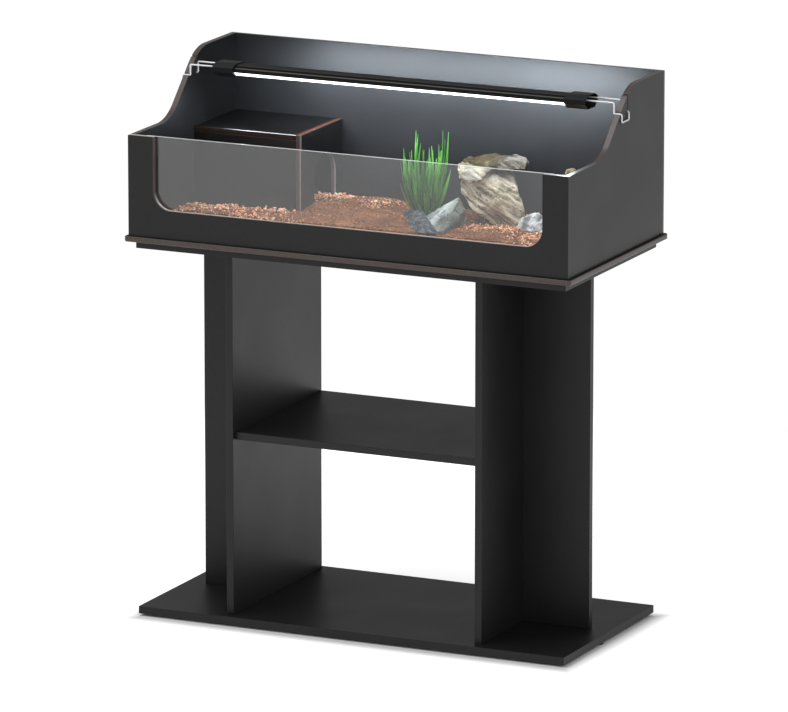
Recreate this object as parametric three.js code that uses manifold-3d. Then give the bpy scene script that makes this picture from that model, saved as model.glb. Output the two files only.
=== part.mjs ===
// Terrarium cabinet: an open-topped reptile table with swept side panels, a glazed front, a hide box
// and a hanging LED lamp, standing on a separate shelf stand of T-shaped legs.
// Millimetres, +Z up. The origin is on the floor, under the middle of the stand. The front faces -Y.
import * as THREE from 'three';
import { mergeVertices } from 'three/addons/utils/BufferGeometryUtils.js';
import { ConvexGeometry } from 'three/addons/geometries/ConvexGeometry.js';
import Module from 'manifold-3d';

// ---------------------------------------------------------------- driving dimensions: stand
const GLIDE_HEIGHT = 5;
const GLIDE_RADIUS = 12;
const GLIDE_SIDE_SHIFT = 32;        // the side glides sit this far in front of the middle
const GLIDE_CORNER_MARGIN_X = 60;
const GLIDE_CORNER_MARGIN_Y = 45;
const GLIDE_STEM_RADIUS = 3;
const GLIDE_STEM_LENGTH = 9;
const STAND_BOARD = 16;
const STAND_WIDTH = 978;
const STAND_DEPTH = 466;
const UPRIGHT_HEIGHT = 771;
const UPRIGHT_PITCH = 570;          // from the middle of one upright to the middle of the other
const UPRIGHT_DEPTH = 428;
const UPRIGHT_SHIFT = 3;            // the legs stand this far behind the middle of the plates
const WING_WIDTH = 152;
const LOWER_BAY_HEIGHT = 375;
const SHELF_SETBACK = 12;
const LEG_SCREW_INSET = 64;         // from the ends of an upright to its screws
const WING_SCREW_OUTSET = 78;       // from an upright's outer face to the screw in its wing
const SHELF_DOWEL_INSET = 70;

// ---------------------------------------------------------------- driving dimensions: table
const BASE_BOARD = 12;
const BASE_OVERHANG = 7.5;
const BASE_CORNER = 7.5;
const BASE_EDGE_ROUND = 2.5;
const TABLE_WIDTH = 1000;
const TABLE_DEPTH = 492;
const FRONT_HEIGHT = 213.5;
const REAR_HEIGHT = 346;
const FRONT_BOARD = 12;
const SIDE_BOARD = 12;
const BACK_BOARD = 8;
const SWEEP_START = 135;            // level stretch of the side's edge, from the front face
const SWEEP_SLOPE = THREE.MathUtils.degToRad(44);
const SWEEP_RADIUS = 105;
const WINDOW_STILE = 58;
const WINDOW_RAIL = 59.5;
const WINDOW_CORNER = 40;
const PANE_THICKNESS = 4;
const PANE_LAP = 20;
const PANE_SCREW_LAP = 10;          // from the pane's side edge to its screws
const PANE_SCREW_TOP = 28;
const PANE_SCREW_PITCH = 100;

// ---------------------------------------------------------------- driving dimensions: hide box
const HIDE_WIDTH = 251;
const HIDE_DEPTH = 200;
const HIDE_HEIGHT = 182;
const HIDE_BOARD = 12;
const HIDE_BATTEN = 15;
const LID_PLAY = 1;
const DOOR_WIDTH = 104;
const DOOR_HEIGHT = 127;
const DOOR_REAR_MARGIN = 31;

// ---------------------------------------------------------------- driving dimensions: lamp
const LAMP_LENGTH = 854;
const LAMP_SETBACK = 281;           // from the table's front face to the lamp's middle
const CAP_LENGTH = 48;
const CAP_WALL = 2;
const CAP_MOUTH_DEPTH = 24;
const CAP_WEB = 3;
const CAP_HALF_DEPTH = 33;
const CAP_TOP = 9.5;
const CAP_BOTTOM = 19.5;
const CAP_TOP_BEVEL = 7;
const CAP_BOTTOM_BEVEL = 12;
const BAR_HALF_DEPTH = 27;
const BAR_TOP = 6.5;
const BAR_BOTTOM = 5.5;
const BAR_CROWN = 14;               // half the width of the bar's flat top
const BAR_SHOULDER = 2.5;
const RIB_GROOVE_WIDTH = 3;
const RIB_GROOVE_DEPTH = 2.5;
const RIB_GROOVE_PITCH = 8;
const RIB_GROOVE_COUNT = 3;
const STRIP_WIDTH = 16;
const STRIP_THICKNESS = 1.5;
const DIFFUSER_DEPTH = 9.5;
const DIFFUSER_TOP_HALF = 25.5;
const DIFFUSER_BOTTOM_HALF = 15;
const DIFFUSER_WALL = 1.5;
const WIRE_RADIUS = 1.75;
const WIRE_BEND = 3;
const PRONG_PITCH = 36;
const PRONG_TAIL = 85;              // length of each prong inside the lamp
const HOOK_DROP = 23;               // from the prongs down to the run across the side panel
const HOOK_LEG = 17;                // from that run down to the foot of the hook
const HOOK_INNER_GAP = 1.25;
const HOOK_OUTER_GAP = 0.75;
const NOTCH_DEPTH = 4;
const WIRE_PLAY = 0.5;

// ---------------------------------------------------------------- driving dimensions: furnishing
const BED_DEPTH = 11;
const BED_CELL = 33;                // about the length of one facet of the bed's surface
const MOUND_HEIGHT = 24;            // the highest mound, over the level bed
const MAIN_ROCK_X = 165;
const MAIN_ROCK_SETBACK = 87;       // setbacks run from the back panel's inner face to a piece's middle
const MAIN_ROCK_HALF_WIDTH = 80;
const MAIN_ROCK_HALF_DEPTH = 58;
const MAIN_ROCK_HEIGHT = 161;       // heights of stones count from the floor of the table
const RIGHT_ROCK_TUCK = 8;          // how far the right rock reaches under the main rock's cap
const RIGHT_ROCK_HALF_WIDTH = 34;
const RIGHT_ROCK_HALF_DEPTH = 26;
const RIGHT_ROCK_HEIGHT = 54;
const CORNER_ROCK_GAP = 8;          // between the right rock and the corner rock
const CORNER_ROCK_SETBACK = 131;
const CORNER_ROCK_HALF_WIDTH = 38;
const CORNER_ROCK_HALF_DEPTH = 40;
const CORNER_ROCK_HEIGHT = 148;
const CORNER_ROCK_SIDES = 18;
const CORNER_ROCK_WAVE = 0.06;      // how far its outline swells in three broad lobes, as a share
const CORNER_ROCK_RIPPLE = 0.04;    // and in seven narrow ones
const PALE_SLATE_X = 68;
const PALE_SLATE_SETBACK = 198;
const PALE_SLATE_HALF_WIDTH = 54;
const PALE_SLATE_HALF_DEPTH = 72;
const PALE_SLATE_HEIGHT = 68;
const DARK_SLATE_X = 34;
const DARK_SLATE_SETBACK = 200;
const DARK_SLATE_HALF_WIDTH = 76;
const DARK_SLATE_HALF_DEPTH = 74;
const DARK_SLATE_HEIGHT = 34;
const PLANT_X = 5;
const PLANT_SETBACK = 123;
const PLANT_HEIGHT = 188;
const PLANT_BLADES = 20;
const PLANT_FLATTENING = 0.75;      // the plant is shallower than wide, as a share
const CROWN_RADIUS = 13;
const CROWN_HEIGHT = 11;
const CROWN_SEGMENTS = 12;
const BLADE_STEPS = 5;
const BLADE_HALF_WIDTH = 3.9;
const BLADE_TIP_HALF = 0.3;
const BLADE_FLATNESS = 0.45;        // thickness over width
const BLADE_TAPER = 0.6;            // below 1 a blade keeps its width longer and narrows late
const BLADE_FOOT_REACH = 8;         // how far the outermost blades start from the middle of the crown
const BLADE_ARCH = 44;              // and how much further their tips reach
const BLADE_DROOP = 0.45;           // share of the height that the outermost blades lose
const BLADE_TWIST = THREE.MathUtils.degToRad(75);

// ---------------------------------------------------------------- driving dimensions: fasteners
const SCREW_RADIUS = 2.5;
const SCREW_HEAD_RADIUS = 5;
const SCREW_HEAD_HEIGHT = 3;
const SCREW_LENGTH = 50;
const PANE_SCREW_RADIUS = 1.5;
const PANE_SCREW_HEAD_RADIUS = 3.5;
const PANE_SCREW_HEAD_HEIGHT = 2;
const PANE_SCREW_LENGTH = 10;
const DOWEL_RADIUS = 4;
const DOWEL_LENGTH = 30;
const DOWEL_IN_UPRIGHT = 11;

// ---------------------------------------------------------------- clearances
const HOLE_CLEARANCE = 0.3;         // round and past the end of every screw and dowel
const SEAT_CLEARANCE = 0.3;         // between pieces that rest on uneven or turned neighbours
const EPS = 1;                      // how far a cutter reaches past the face that it cuts

// ---------------------------------------------------------------- derived levels
const basePlateTop = GLIDE_HEIGHT + STAND_BOARD;
const uprightTop = basePlateTop + UPRIGHT_HEIGHT;
const standTop = uprightTop + STAND_BOARD;
const shelfBottom = basePlateTop + LOWER_BAY_HEIGHT;
const uprightX = UPRIGHT_PITCH / 2;
const uprightFront = UPRIGHT_SHIFT - UPRIGHT_DEPTH / 2;
const uprightRear = UPRIGHT_SHIFT + UPRIGHT_DEPTH / 2;
const uprightInner = uprightX - STAND_BOARD / 2;
const uprightOuter = uprightX + STAND_BOARD / 2;

// The table group stands at the top of its base board, so that its walls start at zero.
const tableFloor = standTop + BASE_BOARD;
const tableFront = -TABLE_DEPTH / 2;
const tableRear = TABLE_DEPTH / 2;
const innerFront = tableFront + FRONT_BOARD;
const innerRear = tableRear - BACK_BOARD;
const sideOuter = TABLE_WIDTH / 2;
const sideInner = sideOuter - SIDE_BOARD;
const windowHalf = TABLE_WIDTH / 2 - WINDOW_STILE;

// ---------------------------------------------------------------- colours
const paint = (color, roughness, metalness = 0) => (
  new THREE.MeshStandardMaterial({ color, roughness, metalness })
);
const blackLaminate = paint(0x333333, 0.55);
const bareEdge = paint(0x5b5452, 0.7);
const clearPane = paint(0xdfe6e8, 0.05);
clearPane.transparent = true;
clearPane.opacity = 0.35;
const steel = paint(0xb9bcc0, 0.35, 1);
const beech = paint(0xc9a26e, 0.7);
const glidePlastic = paint(0x2b2b2b, 0.6);
const blackAluminium = paint(0x1b1c1e, 0.4, 0.6);
const capPlastic = paint(0x1d1e20, 0.5);
const milkyCover = paint(0xf6f8ff, 0.3);
const ledBoard = paint(0xe9e9e4, 0.5);
const chromeWire = paint(0xe6e8ea, 0.12, 1);
const barkSoil = paint(0x9a6b55, 0.95);
const leafGreen = paint(0x4caf3a, 0.5);
const tanStone = paint(0xb2a78a, 0.85);
const paleStone = paint(0xb7bcbb, 0.85);
const slateGrey = paint(0x4e5560, 0.8);

// ---------------------------------------------------------------- solids and booleans
const wasm = await Module();
wasm.setup();

function toSolid(geometry) {
  const bare = new THREE.BufferGeometry();
  bare.setAttribute('position', geometry.getAttribute('position').clone());
  if (geometry.index) {
    bare.setIndex(geometry.index.clone());
  }
  const merged = mergeVertices(bare, 1e-4);
  const mesh = new wasm.Mesh({
    numProp: 3,
    vertProperties: new Float32Array(merged.getAttribute('position').array),
    triVerts: new Uint32Array(merged.index.array),
  });
  return new wasm.Manifold(mesh);
}

function toGeometry(solid) {
  const mesh = solid.getMesh();
  const geometry = new THREE.BufferGeometry();
  geometry.setAttribute('position', new THREE.BufferAttribute(new Float32Array(mesh.vertProperties), 3));
  geometry.setIndex(new THREE.BufferAttribute(new Uint32Array(mesh.triVerts), 1));
  geometry.computeVertexNormals();
  return geometry;
}

function cut(geometry, cutters) {
  let solid = toSolid(geometry);
  for (const cutter of cutters) {
    solid = solid.subtract(toSolid(cutter));
  }
  return toGeometry(solid);
}

function block(x0, x1, y0, y1, z0, z1) {
  const box = new THREE.BoxGeometry(x1 - x0, y1 - y0, z1 - z0);
  return box.translate((x0 + x1) / 2, (y0 + y1) / 2, (z0 + z1) / 2);
}

// A shape drawn in (y, z) and pushed out along X, from x0 to x1.
function extrudeAlongX(shape, x0, x1, curveSegments = 6) {
  const turn = new THREE.Matrix4().makeBasis(
    new THREE.Vector3(0, 1, 0),
    new THREE.Vector3(0, 0, 1),
    new THREE.Vector3(1, 0, 0),
  );
  const solid = new THREE.ExtrudeGeometry(shape, { depth: x1 - x0, bevelEnabled: false, curveSegments });
  return solid.applyMatrix4(turn).translate(x0, 0, 0);
}

// A shape drawn in (x, z) and pushed out along Y, from y0 to y1.
function extrudeAlongY(shape, y0, y1, curveSegments = 6) {
  const solid = new THREE.ExtrudeGeometry(shape, { depth: y1 - y0, bevelEnabled: false, curveSegments });
  return solid.rotateX(Math.PI / 2).translate(0, y1, 0);
}

function shapeFrom(points) {
  return new THREE.Shape(points.map(([a, b]) => new THREE.Vector2(a, b)));
}

// Moves each side of a convex, counterclockwise outline inwards by an inset (outwards if negative).
function insetOutline(points, inset) {
  const sides = points.map(([ax, ay], i) => {
    const [bx, by] = points[(i + 1) % points.length];
    const length = Math.hypot(bx - ax, by - ay);
    const nx = -(by - ay) / length;
    const ny = (bx - ax) / length;
    return { nx, ny, offset: nx * ax + ny * ay + inset };
  });
  return sides.map((side, i) => {
    const before = sides[(i + sides.length - 1) % sides.length];
    const det = before.nx * side.ny - side.nx * before.ny;
    const x = (before.offset * side.ny - side.offset * before.ny) / det;
    const y = (before.nx * side.offset - side.nx * before.offset) / det;
    return [x, y];
  });
}

// A closed skin over rings of equal point counts, stacked from the bottom up.
function skinOver(rings) {
  const count = rings[0].length;
  const positions = [];
  for (const ring of rings) {
    for (const point of ring) {
      positions.push(point.x, point.y, point.z);
    }
  }
  const indices = [];
  for (let level = 0; level + 1 < rings.length; level += 1) {
    for (let i = 0; i < count; i += 1) {
      const next = (i + 1) % count;
      const a = level * count + i;
      const b = level * count + next;
      const c = a + count;
      const d = b + count;
      indices.push(a, b, d, a, d, c);
    }
  }
  for (const [level, upwards] of [[0, false], [rings.length - 1, true]]) {
    const centre = new THREE.Vector3();
    for (const point of rings[level]) {
      centre.addScaledVector(point, 1 / count);
    }
    const hub = positions.length / 3;
    positions.push(centre.x, centre.y, centre.z);
    for (let i = 0; i < count; i += 1) {
      const a = level * count + i;
      const b = level * count + (i + 1) % count;
      indices.push(hub, upwards ? a : b, upwards ? b : a);
    }
  }
  const geometry = new THREE.BufferGeometry();
  geometry.setAttribute('position', new THREE.Float32BufferAttribute(positions, 3));
  geometry.setIndex(indices);
  geometry.computeVertexNormals();
  return geometry;
}

function addPiece(group, name, geometry, material) {
  const mesh = new THREE.Mesh(geometry, material);
  mesh.name = name;
  group.add(mesh);
  return mesh;
}

// ---------------------------------------------------------------- fasteners
// Each fastener is made with its head at the origin and its tip along -Z; a clearance gives its hole.
const FASTENER_SIDES = 10;

function countersunkScrew(clearance = 0) {
  const shank = SCREW_RADIUS + clearance;
  const head = SCREW_HEAD_RADIUS + clearance;
  const tip = -SCREW_LENGTH - clearance;
  const profile = [
    [0, tip],
    [shank, tip + shank],
    [shank, -SCREW_HEAD_HEIGHT - clearance],
    [head, 0],
  ];
  if (clearance > 0) {
    profile.push([head, EPS]);
  }
  profile.push([0, clearance > 0 ? EPS : 0]);
  return latheAlongZ(profile);
}

function panHeadScrew() {
  return latheAlongZ([
    [0, -PANE_SCREW_LENGTH],
    [PANE_SCREW_RADIUS, -PANE_SCREW_LENGTH + PANE_SCREW_RADIUS],
    [PANE_SCREW_RADIUS, 0],
    [PANE_SCREW_HEAD_RADIUS, 0],
    [PANE_SCREW_HEAD_RADIUS, PANE_SCREW_HEAD_HEIGHT / 2],
    [PANE_SCREW_HEAD_RADIUS / 2, PANE_SCREW_HEAD_HEIGHT],
    [0, PANE_SCREW_HEAD_HEIGHT],
  ]);
}

function panScrewHole() {
  const radius = PANE_SCREW_RADIUS + HOLE_CLEARANCE;
  const tip = -PANE_SCREW_LENGTH - HOLE_CLEARANCE;
  return latheAlongZ([[0, tip], [radius, tip + radius], [radius, EPS], [0, EPS]]);
}

function latheAlongZ(profile) {
  const points = profile.map(([radius, height]) => new THREE.Vector2(radius, height));
  return new THREE.LatheGeometry(points, FASTENER_SIDES).rotateX(Math.PI / 2);
}

// A dowel along X, from its inner end at x0 to its outer end at x1.
function dowel(x0, x1, clearance = 0) {
  const radius = DOWEL_RADIUS + clearance;
  const length = x1 - x0 + 2 * clearance;
  const pin = new THREE.CylinderGeometry(radius, radius, length, FASTENER_SIDES);
  return pin.rotateZ(Math.PI / 2).translate((x0 + x1) / 2, 0, 0);
}

// ---------------------------------------------------------------- stand
function makeStand() {
  const stand = new THREE.Group();
  const halfWidth = STAND_WIDTH / 2;
  const halfDepth = STAND_DEPTH / 2;
  const sides = [['left', -1], ['right', 1]];

  // Screws hold the legs from below, through the base plate, and from above, through the top board.
  const screws = [];
  const legScrewRows = [['front', uprightFront + LEG_SCREW_INSET], ['rear', uprightRear - LEG_SCREW_INSET]];
  for (const [side, sign] of sides) {
    for (const [end, y] of legScrewRows) {
      screws.push({ name: `${side}_upright_${end}`, x: sign * uprightX, y });
    }
    screws.push({ name: `${side}_wing`, x: sign * (uprightOuter + WING_SCREW_OUTSET), y: UPRIGHT_SHIFT });
  }
  const lowerHead = GLIDE_HEIGHT + SEAT_CLEARANCE;
  const upperHead = standTop - SEAT_CLEARANCE;
  const lower = (geometry, { x, y }) => geometry.rotateX(Math.PI).translate(x, y, lowerHead);
  const upper = (geometry, { x, y }) => geometry.translate(x, y, upperHead);
  const lowerHoles = screws.map((screw) => lower(countersunkScrew(HOLE_CLEARANCE), screw));
  const upperHoles = screws.map((screw) => upper(countersunkScrew(HOLE_CLEARANCE), screw));
  const holes = [...lowerHoles, ...upperHoles];

  const glides = [];
  for (const [side, sign] of sides) {
    const cornerX = sign * (halfWidth - GLIDE_CORNER_MARGIN_X);
    const cornerY = halfDepth - GLIDE_CORNER_MARGIN_Y;
    glides.push({ name: `${side}_front_glide`, x: cornerX, y: -cornerY });
    glides.push({ name: `${side}_side_glide`, x: sign * (halfWidth - GLIDE_RADIUS), y: -GLIDE_SIDE_SHIFT });
    glides.push({ name: `${side}_rear_glide`, x: cornerX, y: cornerY });
  }
  const stemHoles = glides.map(({ x, y }) => {
    const radius = GLIDE_STEM_RADIUS + HOLE_CLEARANCE;
    const depth = GLIDE_STEM_LENGTH + HOLE_CLEARANCE + EPS;
    const hole = new THREE.CylinderGeometry(radius, radius, depth, FASTENER_SIDES);
    return hole.rotateX(Math.PI / 2).translate(x, y, GLIDE_HEIGHT - EPS + depth / 2);
  });

  const basePlate = block(-halfWidth, halfWidth, -halfDepth, halfDepth, GLIDE_HEIGHT, basePlateTop);
  addPiece(stand, 'stand_base_plate', cut(basePlate, [...lowerHoles, ...stemHoles]), blackLaminate);
  const topBoard = block(-halfWidth, halfWidth, -halfDepth, halfDepth, uprightTop, standTop);
  addPiece(stand, 'stand_top_board', cut(topBoard, upperHoles), blackLaminate);

  const shelfFront = uprightFront + SHELF_SETBACK;
  const dowelInner = uprightInner + DOWEL_IN_UPRIGHT - DOWEL_LENGTH;
  const dowelOuter = uprightInner + DOWEL_IN_UPRIGHT;
  const dowelZ = shelfBottom + STAND_BOARD / 2;
  const dowelRows = [['front', shelfFront + SHELF_DOWEL_INSET], ['rear', uprightRear - SHELF_DOWEL_INSET]];
  const dowels = [];
  for (const [side, sign] of sides) {
    for (const [end, y] of dowelRows) {
      const place = (pin) => pin.rotateZ(sign < 0 ? Math.PI : 0).translate(0, y, dowelZ);
      dowels.push({ name: `${side}_shelf_dowel_${end}`, place });
    }
  }
  const dowelHoles = dowels.map(({ place }) => place(dowel(dowelInner, dowelOuter, HOLE_CLEARANCE)));

  for (const [side, sign] of sides) {
    const legLeft = sign * uprightX - STAND_BOARD / 2;
    const legRight = legLeft + STAND_BOARD;
    const leg = block(legLeft, legRight, uprightFront, uprightRear, basePlateTop, uprightTop);
    addPiece(stand, `${side}_upright`, cut(leg, [...holes, ...dowelHoles]), blackLaminate);
    const from = sign * uprightOuter;
    const to = sign * (uprightOuter + WING_WIDTH);
    const wingFront = UPRIGHT_SHIFT - STAND_BOARD / 2;
    const wing = block(
      Math.min(from, to),
      Math.max(from, to),
      wingFront,
      wingFront + STAND_BOARD,
      basePlateTop,
      uprightTop,
    );
    addPiece(stand, `${side}_wing_panel`, cut(wing, holes), blackLaminate);
  }
  const shelfTop = shelfBottom + STAND_BOARD;
  const shelf = block(-uprightInner, uprightInner, shelfFront, uprightRear, shelfBottom, shelfTop);
  addPiece(stand, 'shelf', cut(shelf, dowelHoles), blackLaminate);

  for (const screw of screws) {
    addPiece(stand, `${screw.name}_base_screw`, lower(countersunkScrew(), screw), steel);
    addPiece(stand, `${screw.name}_top_screw`, upper(countersunkScrew(), screw), steel);
  }
  for (const { name, place } of dowels) {
    addPiece(stand, name, place(dowel(dowelInner, dowelOuter)), beech);
  }
  for (const { name, x, y } of glides) {
    addPiece(stand, name, glideGeometry(), glidePlastic).position.set(x, y, 0);
  }
  return stand;
}

// A turned nylon glide: a low disc with a rounded rim and a stem pressed up into the base plate.
function glideGeometry() {
  const rim = GLIDE_HEIGHT / 4;
  const profile = [
    [0, 0],
    [GLIDE_RADIUS - rim, 0],
    [GLIDE_RADIUS, rim],
    [GLIDE_RADIUS, GLIDE_HEIGHT],
    [GLIDE_STEM_RADIUS, GLIDE_HEIGHT],
    [GLIDE_STEM_RADIUS, GLIDE_HEIGHT + GLIDE_STEM_LENGTH],
    [0, GLIDE_HEIGHT + GLIDE_STEM_LENGTH],
  ];
  const points = profile.map(([radius, height]) => new THREE.Vector2(radius, height));
  return new THREE.LatheGeometry(points, 2 * FASTENER_SIDES).rotateX(Math.PI / 2);
}

// ---------------------------------------------------------------- table box
// The swept edge of a side panel: level, a hollow arc, a straight slope, a round arc, level again.
const sweep = (() => {
  const arcRise = SWEEP_RADIUS * (1 - Math.cos(SWEEP_SLOPE));
  const arcRun = SWEEP_RADIUS * Math.sin(SWEEP_SLOPE);
  const slopeRise = REAR_HEIGHT - FRONT_HEIGHT - 2 * arcRise;
  const slopeRun = slopeRise / Math.tan(SWEEP_SLOPE);
  const start = tableFront + SWEEP_START;
  return { arcRise, arcRun, slopeRun, start, end: start + 2 * arcRun + slopeRun };
})();

// Height of the side's edge over the floor of the table, at a distance y along the depth.
function sideEdgeHeight(y) {
  if (y <= sweep.start) {
    return FRONT_HEIGHT;
  }
  if (y <= sweep.start + sweep.arcRun) {
    return FRONT_HEIGHT + SWEEP_RADIUS - Math.sqrt(SWEEP_RADIUS ** 2 - (y - sweep.start) ** 2);
  }
  if (y <= sweep.end - sweep.arcRun) {
    return FRONT_HEIGHT + sweep.arcRise + (y - sweep.start - sweep.arcRun) * Math.tan(SWEEP_SLOPE);
  }
  if (y <= sweep.end) {
    return REAR_HEIGHT - SWEEP_RADIUS + Math.sqrt(SWEEP_RADIUS ** 2 - (sweep.end - y) ** 2);
  }
  return REAR_HEIGHT;
}

// Where the lamp hangs, over the floor of the table: its wires sit in a notch and a slot of each side.
const lampY = tableFront + LAMP_SETBACK;
const frontProngY = lampY - PRONG_PITCH / 2;
const rearProngY = lampY + PRONG_PITCH / 2;
const wireSeat = sideEdgeHeight(frontProngY) - NOTCH_DEPTH;
const hookRunZ = wireSeat + SEAT_CLEARANCE + WIRE_RADIUS;
const prongZ = hookRunZ + HOOK_DROP;

function sidePanelShape() {
  const shape = new THREE.Shape();
  const topArc = Math.PI / 2;
  shape.moveTo(innerFront, 0);
  shape.lineTo(innerRear, 0);
  shape.lineTo(innerRear, REAR_HEIGHT);
  shape.absarc(sweep.end, REAR_HEIGHT - SWEEP_RADIUS, SWEEP_RADIUS, topArc, topArc + SWEEP_SLOPE, false);
  const hollowArcZ = FRONT_HEIGHT + SWEEP_RADIUS;
  shape.absarc(sweep.start, hollowArcZ, SWEEP_RADIUS, -topArc + SWEEP_SLOPE, -topArc, true);
  shape.lineTo(innerFront, FRONT_HEIGHT);
  return shape;
}

function sidePanelGeometry(x0, x1) {
  const halfSlot = WIRE_RADIUS + WIRE_PLAY;
  const slotAt = (y) => block(x0 - EPS, x1 + EPS, y - halfSlot, y + halfSlot, wireSeat, REAR_HEIGHT + EPS);
  return cut(extrudeAlongX(sidePanelShape(), x0, x1, 8), [slotAt(frontProngY), slotAt(rearProngY)]);
}

function frontPanelShape() {
  const shape = new THREE.Shape();
  const half = TABLE_WIDTH / 2;
  const cornerX = windowHalf - WINDOW_CORNER;
  const cornerZ = WINDOW_RAIL + WINDOW_CORNER;
  shape.moveTo(-half, 0);
  shape.lineTo(half, 0);
  shape.lineTo(half, FRONT_HEIGHT);
  shape.lineTo(windowHalf, FRONT_HEIGHT);
  shape.absarc(cornerX, cornerZ, WINDOW_CORNER, 0, -Math.PI / 2, true);
  shape.absarc(-cornerX, cornerZ, WINDOW_CORNER, -Math.PI / 2, -Math.PI, true);
  shape.lineTo(-windowHalf, FRONT_HEIGHT);
  shape.lineTo(-half, FRONT_HEIGHT);
  return shape;
}

function baseBoardGeometry() {
  const halfX = TABLE_WIDTH / 2 + BASE_OVERHANG;
  const halfY = TABLE_DEPTH / 2 + BASE_OVERHANG;
  const shape = new THREE.Shape();
  shape.moveTo(-halfX + BASE_CORNER, -halfY);
  shape.absarc(halfX - BASE_CORNER, -halfY + BASE_CORNER, BASE_CORNER, -Math.PI / 2, 0, false);
  shape.absarc(halfX - BASE_CORNER, halfY - BASE_CORNER, BASE_CORNER, 0, Math.PI / 2, false);
  shape.absarc(-halfX + BASE_CORNER, halfY - BASE_CORNER, BASE_CORNER, Math.PI / 2, Math.PI, false);
  shape.absarc(-halfX + BASE_CORNER, -halfY + BASE_CORNER, BASE_CORNER, Math.PI, 1.5 * Math.PI, false);
  const board = new THREE.ExtrudeGeometry(shape, {
    depth: BASE_BOARD - 2 * BASE_EDGE_ROUND,
    bevelThickness: BASE_EDGE_ROUND,
    bevelSize: BASE_EDGE_ROUND,
    bevelOffset: -BASE_EDGE_ROUND,
    bevelSegments: 3,
    curveSegments: 3,
  });
  return board.translate(0, 0, BASE_EDGE_ROUND - BASE_BOARD);
}

function makeTableBox(table) {
  addPiece(table, 'table_base_board', baseBoardGeometry(), bareEdge);

  const paneHalf = windowHalf + PANE_LAP;
  const paneRear = innerFront + PANE_THICKNESS;
  const screws = [];
  for (const [side, sign] of [['left', -1], ['right', 1]]) {
    for (const [level, drop] of [['upper', 0], ['lower', PANE_SCREW_PITCH]]) {
      screws.push({
        name: `pane_screw_${side}_${level}`,
        x: sign * (paneHalf - PANE_SCREW_LAP),
        z: FRONT_HEIGHT - PANE_SCREW_TOP - drop,
      });
    }
  }
  const atPane = (geometry, { x, z }) => geometry.rotateX(-Math.PI / 2).translate(x, paneRear, z);
  const holes = screws.map((screw) => atPane(panScrewHole(), screw));

  const front = extrudeAlongY(frontPanelShape(), tableFront, innerFront, 8);
  addPiece(table, 'front_panel', cut(front, holes), blackLaminate);
  addPiece(table, 'left_side_panel', sidePanelGeometry(-sideOuter, -sideInner), blackLaminate);
  addPiece(table, 'right_side_panel', sidePanelGeometry(sideInner, sideOuter), blackLaminate);
  const back = block(-sideOuter, sideOuter, innerRear, tableRear, 0, REAR_HEIGHT);
  addPiece(table, 'back_panel', back, blackLaminate);

  const pane = block(-paneHalf, paneHalf, innerFront, paneRear, WINDOW_RAIL - PANE_LAP, FRONT_HEIGHT);
  addPiece(table, 'front_pane', cut(pane, holes), clearPane);
  for (const screw of screws) {
    addPiece(table, screw.name, atPane(panHeadScrew(), screw), steel);
  }
}

// ---------------------------------------------------------------- hide box in the rear left corner
const hideOuterX = -sideInner + HIDE_WIDTH;
const hideInnerX = hideOuterX - HIDE_BOARD;
const hideFront = innerRear - HIDE_DEPTH;
const lidBottom = HIDE_HEIGHT - HIDE_BOARD;

// The doorway: a round arch, cut through the hide's side panel from its foot.
function doorwayGeometry(margin) {
  const radius = DOOR_WIDTH / 2 - margin;
  const middle = innerRear - DOOR_REAR_MARGIN - DOOR_WIDTH / 2;
  const spring = DOOR_HEIGHT - DOOR_WIDTH / 2;
  const shape = new THREE.Shape();
  shape.moveTo(middle - radius, -EPS);
  shape.lineTo(middle + radius, -EPS);
  shape.absarc(middle, spring, radius, 0, Math.PI, false);
  return extrudeAlongX(shape, hideInnerX - HIDE_BOARD, hideOuterX + HIDE_BOARD, 10);
}

function makeHide(table) {
  const side = block(hideInnerX, hideOuterX, hideFront, innerRear, 0, HIDE_HEIGHT);
  addPiece(table, 'hide_side_panel', cut(side, [doorwayGeometry(0)]), blackLaminate);
  const front = block(-sideInner, hideInnerX, hideFront, hideFront + HIDE_BOARD, 0, lidBottom);
  addPiece(table, 'hide_front_panel', front, blackLaminate);

  const battenRight = -sideInner + HIDE_BATTEN;
  const battenFoot = lidBottom - HIDE_BATTEN;
  const battenFront = hideFront + HIDE_BOARD;
  const sideBatten = block(-sideInner, battenRight, battenFront, innerRear, battenFoot, lidBottom);
  addPiece(table, 'hide_side_batten', sideBatten, bareEdge);
  const rearFront = innerRear - HIDE_BATTEN;
  const rearBatten = block(battenRight, hideInnerX, rearFront, innerRear, battenFoot, lidBottom);
  addPiece(table, 'hide_rear_batten', rearBatten, bareEdge);

  const lid = block(
    -sideInner + LID_PLAY,
    hideInnerX - LID_PLAY,
    hideFront,
    innerRear - LID_PLAY,
    lidBottom,
    HIDE_HEIGHT,
  );
  addPiece(table, 'hide_lid', lid, blackLaminate);
}

// ---------------------------------------------------------------- lamp
// The lamp's group has its origin in the plane of the wire prongs, at the middle of the lamp.
const barEnd = LAMP_LENGTH / 2 - CAP_MOUTH_DEPTH - CAP_WEB - SEAT_CLEARANCE;
const capInnerEnd = LAMP_LENGTH / 2 - CAP_LENGTH;

const barPocketOutline = [
  [-DIFFUSER_BOTTOM_HALF, -BAR_BOTTOM - DIFFUSER_DEPTH],
  [DIFFUSER_BOTTOM_HALF, -BAR_BOTTOM - DIFFUSER_DEPTH],
  [BAR_HALF_DEPTH, -BAR_BOTTOM],
  [BAR_HALF_DEPTH, -BAR_SHOULDER],
  [BAR_CROWN, BAR_TOP],
  [-BAR_CROWN, BAR_TOP],
  [-BAR_HALF_DEPTH, -BAR_SHOULDER],
  [-BAR_HALF_DEPTH, -BAR_BOTTOM],
];

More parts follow.
